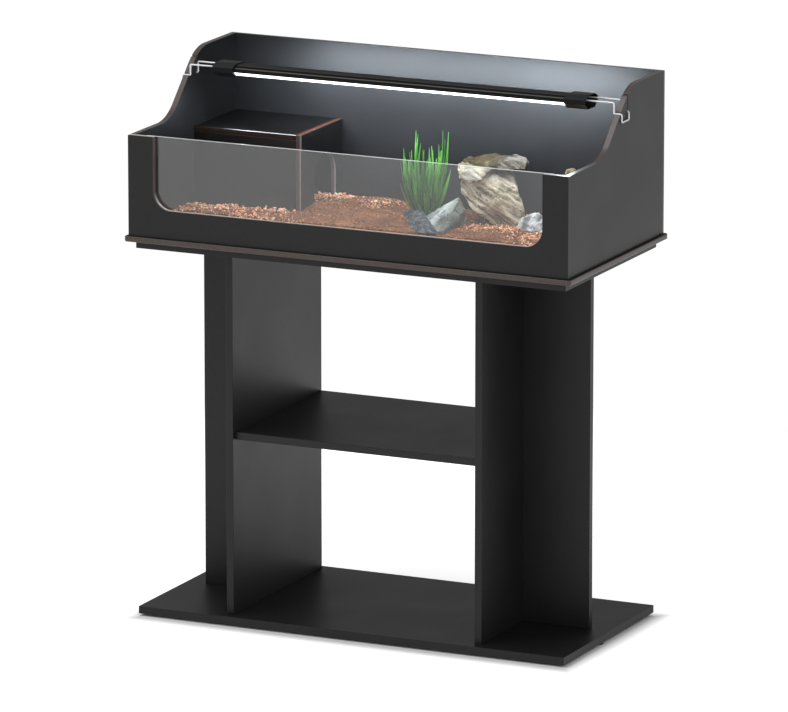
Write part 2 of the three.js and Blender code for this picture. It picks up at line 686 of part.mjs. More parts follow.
// The aluminium section: a crowned bar with cooling grooves, two wire channels and a bed for the strip.
function barGeometry() {
  const outline = [
    [-BAR_HALF_DEPTH, -BAR_BOTTOM],
    [-STRIP_WIDTH / 2 - SEAT_CLEARANCE, -BAR_BOTTOM],
    [-STRIP_WIDTH / 2 - SEAT_CLEARANCE, -BAR_BOTTOM + STRIP_THICKNESS],
    [STRIP_WIDTH / 2 + SEAT_CLEARANCE, -BAR_BOTTOM + STRIP_THICKNESS],
    [STRIP_WIDTH / 2 + SEAT_CLEARANCE, -BAR_BOTTOM],
    [BAR_HALF_DEPTH, -BAR_BOTTOM],
    [BAR_HALF_DEPTH, -BAR_SHOULDER],
    [BAR_CROWN, BAR_TOP],
  ];
  for (let i = RIB_GROOVE_COUNT - 1; i >= 0; i -= 1) {
    const middle = (i - (RIB_GROOVE_COUNT - 1) / 2) * RIB_GROOVE_PITCH;
    outline.push([middle + RIB_GROOVE_WIDTH / 2, BAR_TOP]);
    outline.push([middle + RIB_GROOVE_WIDTH / 2, BAR_TOP - RIB_GROOVE_DEPTH]);
    outline.push([middle - RIB_GROOVE_WIDTH / 2, BAR_TOP - RIB_GROOVE_DEPTH]);
    outline.push([middle - RIB_GROOVE_WIDTH / 2, BAR_TOP]);
  }
  outline.push([-BAR_CROWN, BAR_TOP]);
  outline.push([-BAR_HALF_DEPTH, -BAR_SHOULDER]);
  const shape = shapeFrom(outline);
  for (const sign of [-1, 1]) {
    const channel = new THREE.Path();
    channel.absarc(sign * PRONG_PITCH / 2, 0, WIRE_RADIUS + WIRE_PLAY, 0, 2 * Math.PI, false);
    shape.holes.push(channel);
  }
  return extrudeAlongX(shape, -barEnd, barEnd, 5);
}

function stripGeometry() {
  const top = -BAR_BOTTOM + STRIP_THICKNESS;
  return block(-capInnerEnd, capInnerEnd, -STRIP_WIDTH / 2, STRIP_WIDTH / 2, top - STRIP_THICKNESS, top);
}

function diffuserGeometry() {
  const top = -BAR_BOTTOM;
  const bottom = top - DIFFUSER_DEPTH;
  const shape = shapeFrom([
    [-DIFFUSER_TOP_HALF, top],
    [-DIFFUSER_BOTTOM_HALF, bottom],
    [DIFFUSER_BOTTOM_HALF, bottom],
    [DIFFUSER_TOP_HALF, top],
    [DIFFUSER_TOP_HALF - DIFFUSER_WALL, top],
    [DIFFUSER_BOTTOM_HALF - DIFFUSER_WALL, bottom + DIFFUSER_WALL],
    [-DIFFUSER_BOTTOM_HALF + DIFFUSER_WALL, bottom + DIFFUSER_WALL],
    [-DIFFUSER_TOP_HALF + DIFFUSER_WALL, top],
  ]);
  return extrudeAlongX(shape, -barEnd, barEnd);
}

// A moulded end cap: an eight-sided sleeve over the end of the bar, open outwards, with a web between.
function capGeometry() {
  const shoulderTop = CAP_TOP - CAP_TOP_BEVEL;
  const shoulderBottom = CAP_BOTTOM - CAP_BOTTOM_BEVEL;
  const outline = [
    [-CAP_HALF_DEPTH / 2, -CAP_BOTTOM],
    [CAP_HALF_DEPTH / 2, -CAP_BOTTOM],
    [CAP_HALF_DEPTH, -shoulderBottom],
    [CAP_HALF_DEPTH, shoulderTop],
    [CAP_HALF_DEPTH / 2, CAP_TOP],
    [-CAP_HALF_DEPTH / 2, CAP_TOP],
    [-CAP_HALF_DEPTH, shoulderTop],
    [-CAP_HALF_DEPTH, -shoulderBottom],
  ];
  const outerEnd = LAMP_LENGTH / 2;
  const mouthFloor = outerEnd - CAP_MOUTH_DEPTH;
  const webInner = mouthFloor - CAP_WEB;
  const sleeve = extrudeAlongX(shapeFrom(outline), capInnerEnd, outerEnd);
  const mouth = extrudeAlongX(shapeFrom(insetOutline(outline, CAP_WALL)), mouthFloor, outerEnd + EPS);
  const pocket = shapeFrom(insetOutline(barPocketOutline, -SEAT_CLEARANCE));
  const barPocket = extrudeAlongX(pocket, capInnerEnd - EPS, webInner);
  const wireHoles = [-1, 1].map((sign) => {
    const radius = WIRE_RADIUS + WIRE_PLAY;
    const hole = new THREE.CylinderGeometry(radius, radius, CAP_WEB + 2 * EPS, FASTENER_SIDES);
    return hole.rotateZ(Math.PI / 2).translate(webInner + CAP_WEB / 2, sign * PRONG_PITCH / 2, 0);
  });
  return cut(sleeve, [mouth, barPocket, ...wireHoles]);
}

// A wire path with straight runs between its corners and a round bend at each of them.
class BentWirePath extends THREE.Curve {
  constructor(corners, bendRadius, bendSteps) {
    super();
    this.nodes = [corners[0].clone()];
    for (let i = 1; i + 1 < corners.length; i += 1) {
      const before = corners[i - 1].clone().sub(corners[i]).normalize();
      const after = corners[i + 1].clone().sub(corners[i]).normalize();
      const centre = corners[i].clone();
      centre.addScaledVector(before, bendRadius).addScaledVector(after, bendRadius);
      for (let step = 0; step <= bendSteps; step += 1) {
        const angle = (step / bendSteps) * (Math.PI / 2);
        const node = centre.clone();
        node.addScaledVector(after, -bendRadius * Math.cos(angle));
        node.addScaledVector(before, -bendRadius * Math.sin(angle));
        this.nodes.push(node);
      }
    }
    this.nodes.push(corners[corners.length - 1].clone());
  }

  getPoint(t, target = new THREE.Vector3()) {
    const place = Math.min(Math.max(t, 0), 1) * (this.nodes.length - 1);
    const index = Math.min(Math.floor(place), this.nodes.length - 2);
    return target.copy(this.nodes[index]).lerp(this.nodes[index + 1], place - index);
  }

  // The steps of a sweep follow the nodes, so that every bend keeps its own.
  getPointAt(u, target) {
    return this.getPoint(u, target);
  }

  getTangentAt(u, target) {
    return this.getTangent(u, target);
  }
}

// The right-hand wire bracket: two prongs, each dropping to a run across the panel, and a hook outside.
function bracketGeometry() {
  const half = PRONG_PITCH / 2;
  const tail = LAMP_LENGTH / 2 - PRONG_TAIL;
  const dropX = sideInner - HOOK_INNER_GAP - WIRE_RADIUS;
  const hookX = sideOuter + HOOK_OUTER_GAP + WIRE_RADIUS;
  const footZ = -HOOK_DROP - HOOK_LEG;
  const corners = [
    new THREE.Vector3(tail, -half, 0),
    new THREE.Vector3(dropX, -half, 0),
    new THREE.Vector3(dropX, -half, -HOOK_DROP),
    new THREE.Vector3(hookX, -half, -HOOK_DROP),
    new THREE.Vector3(hookX, -half, footZ),
    new THREE.Vector3(hookX, half, footZ),
    new THREE.Vector3(hookX, half, -HOOK_DROP),
    new THREE.Vector3(dropX, half, -HOOK_DROP),
    new THREE.Vector3(dropX, half, 0),
    new THREE.Vector3(tail, half, 0),
  ];
  const path = new BentWirePath(corners, WIRE_BEND, 4);
  const section = new THREE.Shape();
  section.absarc(0, 0, WIRE_RADIUS, 0, 2 * Math.PI, false);
  return new THREE.ExtrudeGeometry(section, {
    steps: path.nodes.length - 1,
    extrudePath: path,
    curveSegments: 4,
  });
}

function makeLamp() {
  const lamp = new THREE.Group();
  addPiece(lamp, 'lamp_bar', barGeometry(), blackAluminium);
  addPiece(lamp, 'led_strip', stripGeometry(), ledBoard);
  addPiece(lamp, 'lamp_diffuser', diffuserGeometry(), milkyCover);
  addPiece(lamp, 'right_end_cap', capGeometry(), capPlastic);
  addPiece(lamp, 'left_end_cap', capGeometry(), capPlastic).rotation.z = Math.PI;
  addPiece(lamp, 'right_wire_bracket', bracketGeometry(), chromeWire);
  addPiece(lamp, 'left_wire_bracket', bracketGeometry(), chromeWire).rotation.z = Math.PI;
  lamp.position.set(0, lampY, prongZ);
  return lamp;
}

// ---------------------------------------------------------------- furnishing
// Mounds of the substrate bed, as shares: the middle and the reach of the table's inner half width and
// half depth, and the height of the highest mound.
const MOUNDS = [
  { across: -0.31, back: 0.53, reachX: 0.27, reachY: 0.41, height: 1 },
  { across: -0.12, back: 0.08, reachX: 0.25, reachY: 0.37, height: 0.42 },
  { across: 0.6, back: 0, reachX: 0.31, reachY: 0.45, height: 0.33 },
  { across: -0.8, back: -0.24, reachX: 0.22, reachY: 0.49, height: 0.62 },
];

function bedHeight(x, y) {
  let height = BED_DEPTH;
  for (const mound of MOUNDS) {
    const dx = (x / sideInner - mound.across) / mound.reachX;
    const dy = (y / tableRear - mound.back) / mound.reachY;
    height += mound.height * MOUND_HEIGHT * Math.exp(-dx * dx - dy * dy);
  }
  return height;
}

// The bed fills the table round the walls of the hide; raising its surface gives the stones' cutter.
function bedSolid(raise) {
  const gap = SEAT_CLEARANCE;
  const width = 2 * (sideInner - gap);
  const depth = innerRear - innerFront - 2 * gap;
  const cellsX = Math.round(width / BED_CELL);
  const cellsY = Math.round(depth / BED_CELL);
  const bed = new THREE.BoxGeometry(width, depth, 1, cellsX, cellsY, 1);
  bed.translate(0, (innerFront + innerRear) / 2, 0);
  const position = bed.getAttribute('position');
  for (let i = 0; i < position.count; i += 1) {
    const isTop = position.getZ(i) > 0;
    position.setZ(i, isTop ? bedHeight(position.getX(i), position.getY(i)) + raise : 0);
  }
  const hideLeft = -sideInner - gap;
  const wallFront = hideFront - gap;
  const sideWall = block(hideInnerX - gap, hideOuterX + gap, wallFront, innerRear + gap, -EPS, HIDE_HEIGHT);
  const sideWallWithDoor = toSolid(sideWall).subtract(toSolid(doorwayGeometry(gap)));
  const frontWallRear = hideFront + HIDE_BOARD + gap;
  const frontWall = block(hideLeft, hideInnerX + gap, wallFront, frontWallRear, -EPS, HIDE_HEIGHT);
  return toSolid(bed).subtract(sideWallWithDoor).subtract(toSolid(frontWall));
}

const mainRock = {
  x: MAIN_ROCK_X,
  y: innerRear - MAIN_ROCK_SETBACK,
  halfWidth: MAIN_ROCK_HALF_WIDTH,
  halfDepth: MAIN_ROCK_HALF_DEPTH,
  height: MAIN_ROCK_HEIGHT,
};
const rightRock = {
  x: mainRock.x + mainRock.halfWidth - RIGHT_ROCK_TUCK + RIGHT_ROCK_HALF_WIDTH,
  y: mainRock.y - mainRock.halfDepth,
  halfWidth: RIGHT_ROCK_HALF_WIDTH,
  halfDepth: RIGHT_ROCK_HALF_DEPTH,
  height: RIGHT_ROCK_HEIGHT,
};
const cornerRock = {
  x: rightRock.x + rightRock.halfWidth + CORNER_ROCK_GAP + CORNER_ROCK_HALF_WIDTH,
  y: innerRear - CORNER_ROCK_SETBACK,
  halfWidth: CORNER_ROCK_HALF_WIDTH,
  halfDepth: CORNER_ROCK_HALF_DEPTH,
  height: CORNER_ROCK_HEIGHT,
};
const paleSlate = {
  x: PALE_SLATE_X,
  y: innerRear - PALE_SLATE_SETBACK,
  halfWidth: PALE_SLATE_HALF_WIDTH,
  halfDepth: PALE_SLATE_HALF_DEPTH,
  height: PALE_SLATE_HEIGHT,
};
const darkSlate = {
  x: DARK_SLATE_X,
  y: innerRear - DARK_SLATE_SETBACK,
  halfWidth: DARK_SLATE_HALF_WIDTH,
  halfDepth: DARK_SLATE_HALF_DEPTH,
  height: DARK_SLATE_HEIGHT,
};

// A hewn stone: the hull of its corners, each given as shares of the stone's own half width, half depth
// and height.
function hewnStone(stone, corners) {
  return new ConvexGeometry(corners.map(([across, back, up]) => new THREE.Vector3(
    stone.x + across * stone.halfWidth,
    stone.y + back * stone.halfDepth,
    up * stone.height,
  )));
}

// The main rock's body leans over its narrow foot, which stands at the right.
function mainRockBody() {
  return hewnStone(mainRock, [
    [0.2, -0.55, 0.03],
    [0.78, -0.6, 0.03],
    [0.72, 0.1, 0.03],
    [0.3, 0.5, 0.03],
    [0.08, 0.2, 0.03],
    [-0.04, -0.7, 0.14],
    [0.92, -0.52, 0.28],
    [0.66, 0.15, 0.3],
    [-0.47, -0.72, 0.25],
    [0.3, -0.95, 0.42],
    [-0.9, -0.55, 0.46],
    [-0.94, 0.1, 0.55],
    [-0.4, 0.75, 0.36],
    [0.72, -0.52, 0.52],
    [0.38, 0.4, 0.5],
    [-0.84, -0.62, 0.68],
    [0.6, -0.52, 0.74],
    [0.1, -0.9, 0.7],
    [0.12, 0.6, 0.78],
    [-0.6, 0.7, 0.78],
    [-0.78, -0.2, 0.84],
    [0.2, -0.5, 0.87],
  ]);
}

// A broken slab lies on the body and reaches out to the right.
function mainRockCap() {
  return hewnStone(mainRock, [
    [-0.93, -0.4, 0.83],
    [-0.4, -0.86, 0.82],
    [0.35, -0.9, 0.83],
    [0.96, -0.6, 0.85],
    [0.8, 0.2, 0.87],
    [0.3, 0.85, 0.86],
    [-0.5, 0.88, 0.84],
    [-0.95, 0.3, 0.83],
    [-0.86, -0.34, 0.91],
    [-0.45, -0.66, 0.96],
    [0.3, -0.72, 0.97],
    [0.46, -0.66, 1],
    [0.96, -0.5, 0.94],
    [0.74, 0.1, 0.95],
    [0.2, 0.7, 0.96],
    [-0.4, 0.72, 0.95],
    [-0.84, 0.2, 0.92],
  ]);
}

// A smaller block is wedged under the slab at the front left.
function mainRockBlock() {
  return hewnStone(mainRock, [
    [-0.92, -0.7, 0.66],
    [-0.5, -0.98, 0.63],
    [-0.16, -1, 0.7],
    [0.08, -0.92, 0.82],
    [-0.96, -0.6, 0.84],
    [-0.6, -0.95, 0.85],
    [0.04, -0.3, 0.84],
    [-0.9, -0.1, 0.84],
    [-0.6, -0.3, 0.66],
  ]);
}

function mainRockGeometry() {
  return toGeometry(toSolid(mainRockBody()).add(toSolid(mainRockCap())).add(toSolid(mainRockBlock())));
}

// The corner rock is a weathered cone, from wavy ovals with their level, sideways shift and spread as
// shares of the stone.
function cornerRockGeometry() {
  const ovals = [
    { level: 0.02, shift: 0, spread: 1 },
    { level: 0.34, shift: 0, spread: 0.88 },
    { level: 0.68, shift: -0.07, spread: 0.57 },
    { level: 1, shift: -0.05, spread: 0.24 },
  ];
  const rings = ovals.map(({ level, shift, spread }, index) => {
    const ring = [];
    for (let i = 0; i < CORNER_ROCK_SIDES; i += 1) {
      const angle = (i / CORNER_ROCK_SIDES) * 2 * Math.PI;
      const wave = CORNER_ROCK_WAVE * Math.sin(3 * angle + index);
      const ripple = CORNER_ROCK_RIPPLE * Math.sin(7 * angle + 2 * index);
      const reach = spread * (1 + wave + ripple);
      ring.push(new THREE.Vector3(
        cornerRock.x + cornerRock.halfWidth * (shift + reach * Math.cos(angle)),
        cornerRock.y + cornerRock.halfDepth * reach * Math.sin(angle),
        cornerRock.height * level,
      ));
    }
    return ring;
  });
  return skinOver(rings);
}

function rightRockGeometry() {
  return hewnStone(rightRock, [
    [-1, -0.41, 0.03],
    [0.89, -1, 0.03],
    [1, 0.71, 0.03],
    [-0.62, 1, 0.03],
    [-0.73, -0.24, 0.76],
    [0.08, -0.06, 1],
    [0.84, -0.24, 0.97],
    [0.68, 0.59, 0.79],
    [-0.41, 0.65, 0.69],
    [-0.08, -0.76, 0.38],
  ]);
}

// The pale slate lies flat at its left end and rises to a corner beside the main rock.
function paleSlateGeometry() {
  return hewnStone(paleSlate, [
    [0.96, -0.88, 0.08],
    [0.9, -0.8, 0.3],
    [-0.95, 0.83, 0.08],
    [-0.93, 0.8, 0.3],
    [0.07, 0.7, 0.8],
    [0.56, 0.83, 1],
    [0.85, 0.83, 0.69],
    [0.85, 0.97, 0.08],
    [0.81, 0.28, 0.53],
    [0.9, -0.28, 0.35],
    [0.52, -0.64, 0.24],
    [0.52, -0.64, 0.08],
    [-0.41, 0.29, 0.3],
    [-0.41, 0.29, 0.08],
  ]);
}

function darkSlateGeometry() {
  return hewnStone(darkSlate, [
    [-0.97, 0.95, 0.12],
    [-0.97, 0.95, 0.76],
    [-0.68, 0.95, 0.95],
    [-0.68, 0.95, 0.12],
    [-0.16, 0.68, 1],
    [-0.16, 0.68, 0.12],
    [0.62, -0.66, 0.9],
    [1, -0.93, 0.6],
    [1, -0.93, 0.12],
    [0.34, -1, 0.5],
    [0.34, -1, 0.12],
    [-0.32, -0.1, 0.62],
    [-0.35, -0.1, 0.12],
    [-0.87, 0.68, 0.6],
    [-0.87, 0.68, 0.12],
  ]);
}

const plantY = innerRear - PLANT_SETBACK;

// One tapered blade: inner blades stand up, and outer ones start further out and arch over.
function bladeGeometry(index, foot) {
  const goldenTurn = Math.PI * (3 - Math.sqrt(5));
  const turn = index * goldenTurn;
  const spread = Math.sqrt((index + 0.5) / PLANT_BLADES);
  const droop = BLADE_DROOP * spread * (1 + 0.4 * (Math.sin(5 * index) - 1));
  const lift = PLANT_HEIGHT * (1 - droop);
  const rings = [];
  for (let step = 0; step <= BLADE_STEPS; step += 1) {
    const along = step / BLADE_STEPS;
    const reach = spread * (BLADE_FOOT_REACH + BLADE_ARCH * along ** 2);
    const half = BLADE_TIP_HALF + (BLADE_HALF_WIDTH - BLADE_TIP_HALF) * (1 - along) ** BLADE_TAPER;
    const middle = new THREE.Vector3(
      PLANT_X + reach * Math.cos(turn),
      plantY + PLANT_FLATTENING * reach * Math.sin(turn),
      foot + along * lift,
    );
    const thin = BLADE_FLATNESS * half;
    const section = [[-half, 0], [0, -thin], [half, 0], [0, thin]];
    const axis = new THREE.Vector3(0, 0, 1);
    rings.push(section.map(([a, b]) => (
      new THREE.Vector3(a, b, 0).applyAxisAngle(axis, turn + BLADE_TWIST).add(middle)
    )));
  }
  return skinOver(rings);
}

// The plant: blades that fan out of one low crown.
function plantSolid() {
  const foot = bedHeight(PLANT_X, plantY) + SEAT_CLEARANCE;
  const crown = new THREE.SphereGeometry(CROWN_RADIUS, CROWN_SEGMENTS, CROWN_SEGMENTS / 2);
  crown.scale(1, 1, CROWN_HEIGHT / (2 * CROWN_RADIUS));
  crown.translate(PLANT_X, plantY, foot + CROWN_HEIGHT / 2);
  let plant = toSolid(crown);
  for (let i = 0; i < PLANT_BLADES; i += 1) {
    plant = plant.add(toSolid(bladeGeometry(i, foot + CROWN_HEIGHT / 4)));
  }
  return plant;
}

function makeFurnishing(table) {
  const raisedBed = bedSolid(SEAT_CLEARANCE);
  const settle = (geometry) => toGeometry(toSolid(geometry).subtract(raisedBed));
  addPiece(table, 'substrate_bed', toGeometry(bedSolid(0)), barkSoil);
  addPiece(table, 'main_rock', settle(mainRockGeometry()), tanStone);
  addPiece(table, 'corner_rock', settle(cornerRockGeometry()), tanStone);
  addPiece(table, 'right_rock', settle(rightRockGeometry()), paleStone);
  addPiece(table, 'pale_slate', settle(paleSlateGeometry()), paleStone);
  addPiece(table, 'dark_slate', settle(darkSlateGeometry()), slateGrey);
  addPiece(table, 'grass_plant', toGeometry(plantSolid().subtract(raisedBed)), leafGreen);
}

// ---------------------------------------------------------------- assembly
const table = new THREE.Group();
makeTableBox(table);
makeHide(table);
makeFurnishing(table);
table.add(makeLamp());
table.position.z = tableFloor;

const group = new THREE.Group();
group.add(makeStand());
group.add(table);

export default group;
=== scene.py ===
"""The looks of a terrarium cabinet: a glazed, open-topped reptile table with a hanging lamp, on its stand.

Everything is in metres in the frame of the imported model: X to the right, -Y to the front, +Z up. Sizes that
a piece shares with the construction are read from the frame's own nodes. Sizes of its own are named below,
in millimetres where the name ends in _MM.
"""

import math
import random

import bmesh
import bpy
import numpy as np
from mathutils import Matrix, Vector, noise
from mathutils.bvhtree import BVHTree


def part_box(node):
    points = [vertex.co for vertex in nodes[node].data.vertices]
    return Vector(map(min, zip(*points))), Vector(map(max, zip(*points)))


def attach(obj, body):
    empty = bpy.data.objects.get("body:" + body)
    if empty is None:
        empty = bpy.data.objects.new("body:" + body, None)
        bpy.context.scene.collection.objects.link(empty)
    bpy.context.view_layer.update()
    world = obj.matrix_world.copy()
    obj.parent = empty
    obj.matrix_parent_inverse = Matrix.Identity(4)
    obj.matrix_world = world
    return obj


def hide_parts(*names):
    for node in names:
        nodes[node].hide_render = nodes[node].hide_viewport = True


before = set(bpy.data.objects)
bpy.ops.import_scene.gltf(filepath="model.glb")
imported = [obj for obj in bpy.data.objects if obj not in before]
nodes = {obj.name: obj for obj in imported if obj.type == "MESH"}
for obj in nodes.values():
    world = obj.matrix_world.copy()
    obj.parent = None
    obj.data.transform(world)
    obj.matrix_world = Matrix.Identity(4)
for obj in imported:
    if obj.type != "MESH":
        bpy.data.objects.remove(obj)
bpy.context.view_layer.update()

MM = 0.001
SEED = 20

# -------------------------------- camera, lamps and floor
CAMERA_AZIMUTH = 25.077
CAMERA_ELEVATION = 13.134
CAMERA_DISTANCE = 16.922
CAMERA_TARGET = (-0.00516, 0.0, 0.5595)
CAMERA_LENS = 370.03

AMBIENT = 0.4
SKY_IN_GLOSS = 0.32        # the backdrop as satin surfaces mirror it
FLOOR_HALF = 40
FLOOR_LIFT = 0.68          # what the floor shows to the camera above the light that it catches
FLOOR_WHITE = 1.02         # the same far from the object
FLOOR_IN_GLOSS = (0.25, 1.0)  # the same for surfaces that mirror it, near the object and far from it
FLOOR_NEAR = 0.75          # from here outwards the floor turns into plain white, from its middle
FLOOR_FAR = 1.5
FLOOR_UNLIT = 1.95         # from here outwards it shows its own white alone
# The deep shadow close to the base plate is partly real and partly painted shadow: in a box around the plate,
# set off to one side, the floor's own white fades out and only the light that it catches shows. How far the
# box lies off to one side, and how far the shadow reaches.
CONTACT_SHIFT = (0.004, -0.014)
CONTACT_REACH = 0.034

STUDIO_TARGET = (0, 0, 0.6)
STUDIO_LAMPS = [           # name, place, size, watts
    ("key", (4.4, -3.4, 3.0), 4.0, 60),
    ("fill", (-4.4, -3.6, 3.4), 5.0, 45),
    ("top", (-1.1, -0.8, 4.6), 1.7, 60),
]
LED_COLOUR = (0.8, 0.9, 1.0)
LED_WIDTH = 0.012
LED_SPREAD = 130           # degrees
LED_INSET = 0.03           # from the ends of the diffuser
LED_WATTS = 5.0
LED_DOWN_WATTS = 0.7
LED_DROP = 0.002           # under the diffuser
LED_RIGHT_WATTS = 0.4      # an extra lamp under the strip's right third, which brightens the back panel there
LED_RIGHT_FROM = 0.12
LED_RIGHT_DROP = 0.015
LED_END_WATTS = 0.25
LED_END_SIZE = 0.02
LED_END_DROP = 0.06

# -------------------------------- colours, as they look on a screen
LAMINATE_TONES = ("#171718", "#1e1e1f", "#3a3b3e")  # plain, worn, pearl flecks
# The lid's laminate painted darker than elsewhere: painted shade against the strong light of the strip close
# above it.
LID_SHADED_TONES = ("#09090a", "#0e0e0f", "#1e1f22")
EDGE = "#5d524e"
EDGE_FIBRE = "#3a302d"
CUT_EDGE = "#6a5e5a"
CUT_FIBRE = "#463b38"
# A painted highlight on the upper cut edges of the front panel, coming in towards the rear.
CUT_EDGE_HIGHLIGHT = "#d5cfcb"
CUT_EDGE_HIGHLIGHT_SPAN = (0.3, 0.5)  # where this comes in and where it is full, as shares of the thickness
HIDE_EDGE = "#5e3a29"
HIDE_FIBRE = "#3a241b"
# Painted shade for the hide's forward edges, then a painted highlight line along them near the panel's right
# face.
HIDE_FRONT_EDGE_SHADE = "#524440"
HIDE_FRONT_HIGHLIGHT = "#908886"
HIDE_FRONT_HIGHLIGHT_MM = (4, 3.4)  # from the panel's right face: where the line comes in and where it is full
# Painted shade for the lid's front edge, then a painted highlight along its front arris, with the X where it
# comes in and where it is full.
LID_FRONT_EDGE_SHADE = "#332925"
LID_ARRIS_HIGHLIGHT = "#f4f1ee"
LID_ARRIS_HIGHLIGHT_SPAN = (-0.42, -0.33)
BARK_TONES = [(0.0, "#98583b"), (0.3, "#d88c5e"), (0.65, "#f7b282"), (1.0, "#ffe6c4")]
GRIT_TONES = [(0.0, "#2c1a0e"), (0.45, "#5a3620"), (0.8, "#8c5c3a"), (1.0, "#d9a274")]


def srgb(code):
    """A screen colour such as #5b5452 as linear numbers."""
    parts = [int(code[i:i + 2], 16) / 255 for i in (1, 3, 5)]
    return tuple(c / 12.92 if c < 0.04045 else ((c + 0.055) / 1.055) ** 2.4 for c in parts) + (1.0,)


# -------------------------------- materials
class Paint:
    """A node material under construction, with short calls for the nodes that it needs."""

    def __init__(self, name, roughness=0.5, metallic=0.0, specular=0.5):
        self.material = bpy.data.materials.new(name)
        self.material.use_nodes = True
        self.tree = self.material.node_tree
        self.shader = self.tree.nodes["Principled BSDF"]
        self.put("Roughness", roughness)
        self.put("Metallic", metallic)
        self.put("Specular IOR Level", specular)
        coordinates = self.tree.nodes.new("ShaderNodeTexCoord")
        self.place = coordinates.outputs["Object"]
        self.facing = coordinates.outputs["Normal"]

    def feed(self, socket, value):
        if isinstance(value, bpy.types.NodeSocket):
            self.tree.links.new(value, socket)
        else:
            socket.default_value = value

    def put(self, socket, value):
        self.feed(self.shader.inputs[socket], value)

    def node(self, kind, inputs=(), **settings):
        made = self.tree.nodes.new("ShaderNode" + kind)
        for key, value in settings.items():
            setattr(made, key, value)
        for socket, value in dict(inputs).items():
            self.feed(made.inputs[socket], value)
        return made

    def stretched(self, stretch):
        return self.node("Mapping", {"Vector": self.place, "Scale": stretch}).outputs[0]

    def noise(self, scale, detail=3.0, roughness=0.5, stretch=(1, 1, 1), distortion=0.0):
        inputs = {"Vector": self.stretched(stretch), "Scale": scale, "Detail": detail,
                  "Roughness": roughness, "Distortion": distortion}
        return self.node("TexNoise", inputs).outputs[0]

    def streaks(self, scale, slope, length):
        """Noise drawn out along a direction that falls to the right by the given slope, in degrees."""
        turn = (0, math.radians(slope), 0)
        inputs = {"Vector": self.place, "Rotation": turn, "Scale": (length, 1, 1)}
        turned = self.node("Mapping", inputs, vector_type="TEXTURE").outputs[0]
        inputs = {"Vector": turned, "Scale": scale, "Detail": 4.0, "Roughness": 0.6}
        return self.node("TexNoise", inputs).outputs[0]

    def cells(self, scale):
        """Distance to the nearest of scattered points."""
        return self.node("TexVoronoi", {"Vector": self.place, "Scale": scale}).outputs[0]

    def span(self, value, low, high, to_low=0.0, to_high=1.0):
        return self.node("MapRange", {0: value, 1: low, 2: high, 3: to_low, 4: to_high}).outputs[0]

    def maths(self, operation, a, b=0.0):
        return self.node("Math", {0: a, 1: b}, operation=operation).outputs[0]

    def blend(self, factor, a, b, kind="MIX"):
        made = self.node("Mix", {0: factor, 6: a, 7: b}, data_type="RGBA", blend_type=kind)
        return made.outputs[2]

    def tone(self, value, stops):
        """Colours along a value, from a list of (value, colour code)."""
        ramp = self.node("ValToRGB", {0: value})
        elements = ramp.color_ramp.elements
        while len(elements) < len(stops):
            elements.new(0.5)
        for element, (at, code) in zip(elements, stops):
            element.position = at
            element.color = srgb(code)
        return ramp.outputs[0]

    def bump(self, height, distance_mm):
        inputs = {"Height": height, "Distance": distance_mm * MM, "Strength": 1.0}
        self.put("Normal", self.node("Bump", inputs).outputs[0])

    def at(self, axis):
        """Where a point lies along an axis."""
        return self.node("SeparateXYZ", {0: self.place}).outputs["XYZ".index(axis)]

    def faces(self, axis):
        """1 where a face looks along an axis, 0 where it looks across and -1 where it looks against it."""
        return self.node("SeparateXYZ", {0: self.facing}).outputs["XYZ".index(axis)]

    def faces_either_way(self, axis):
        return self.maths("ABSOLUTE", self.faces(axis))

    def upwards(self):
        return self.faces("Z")

    def forwards(self):
        return self.maths("MULTIPLY", self.faces("Y"), -1)

    def height_over(self, z):
        return self.maths("SUBTRACT", self.at("Z"), z)


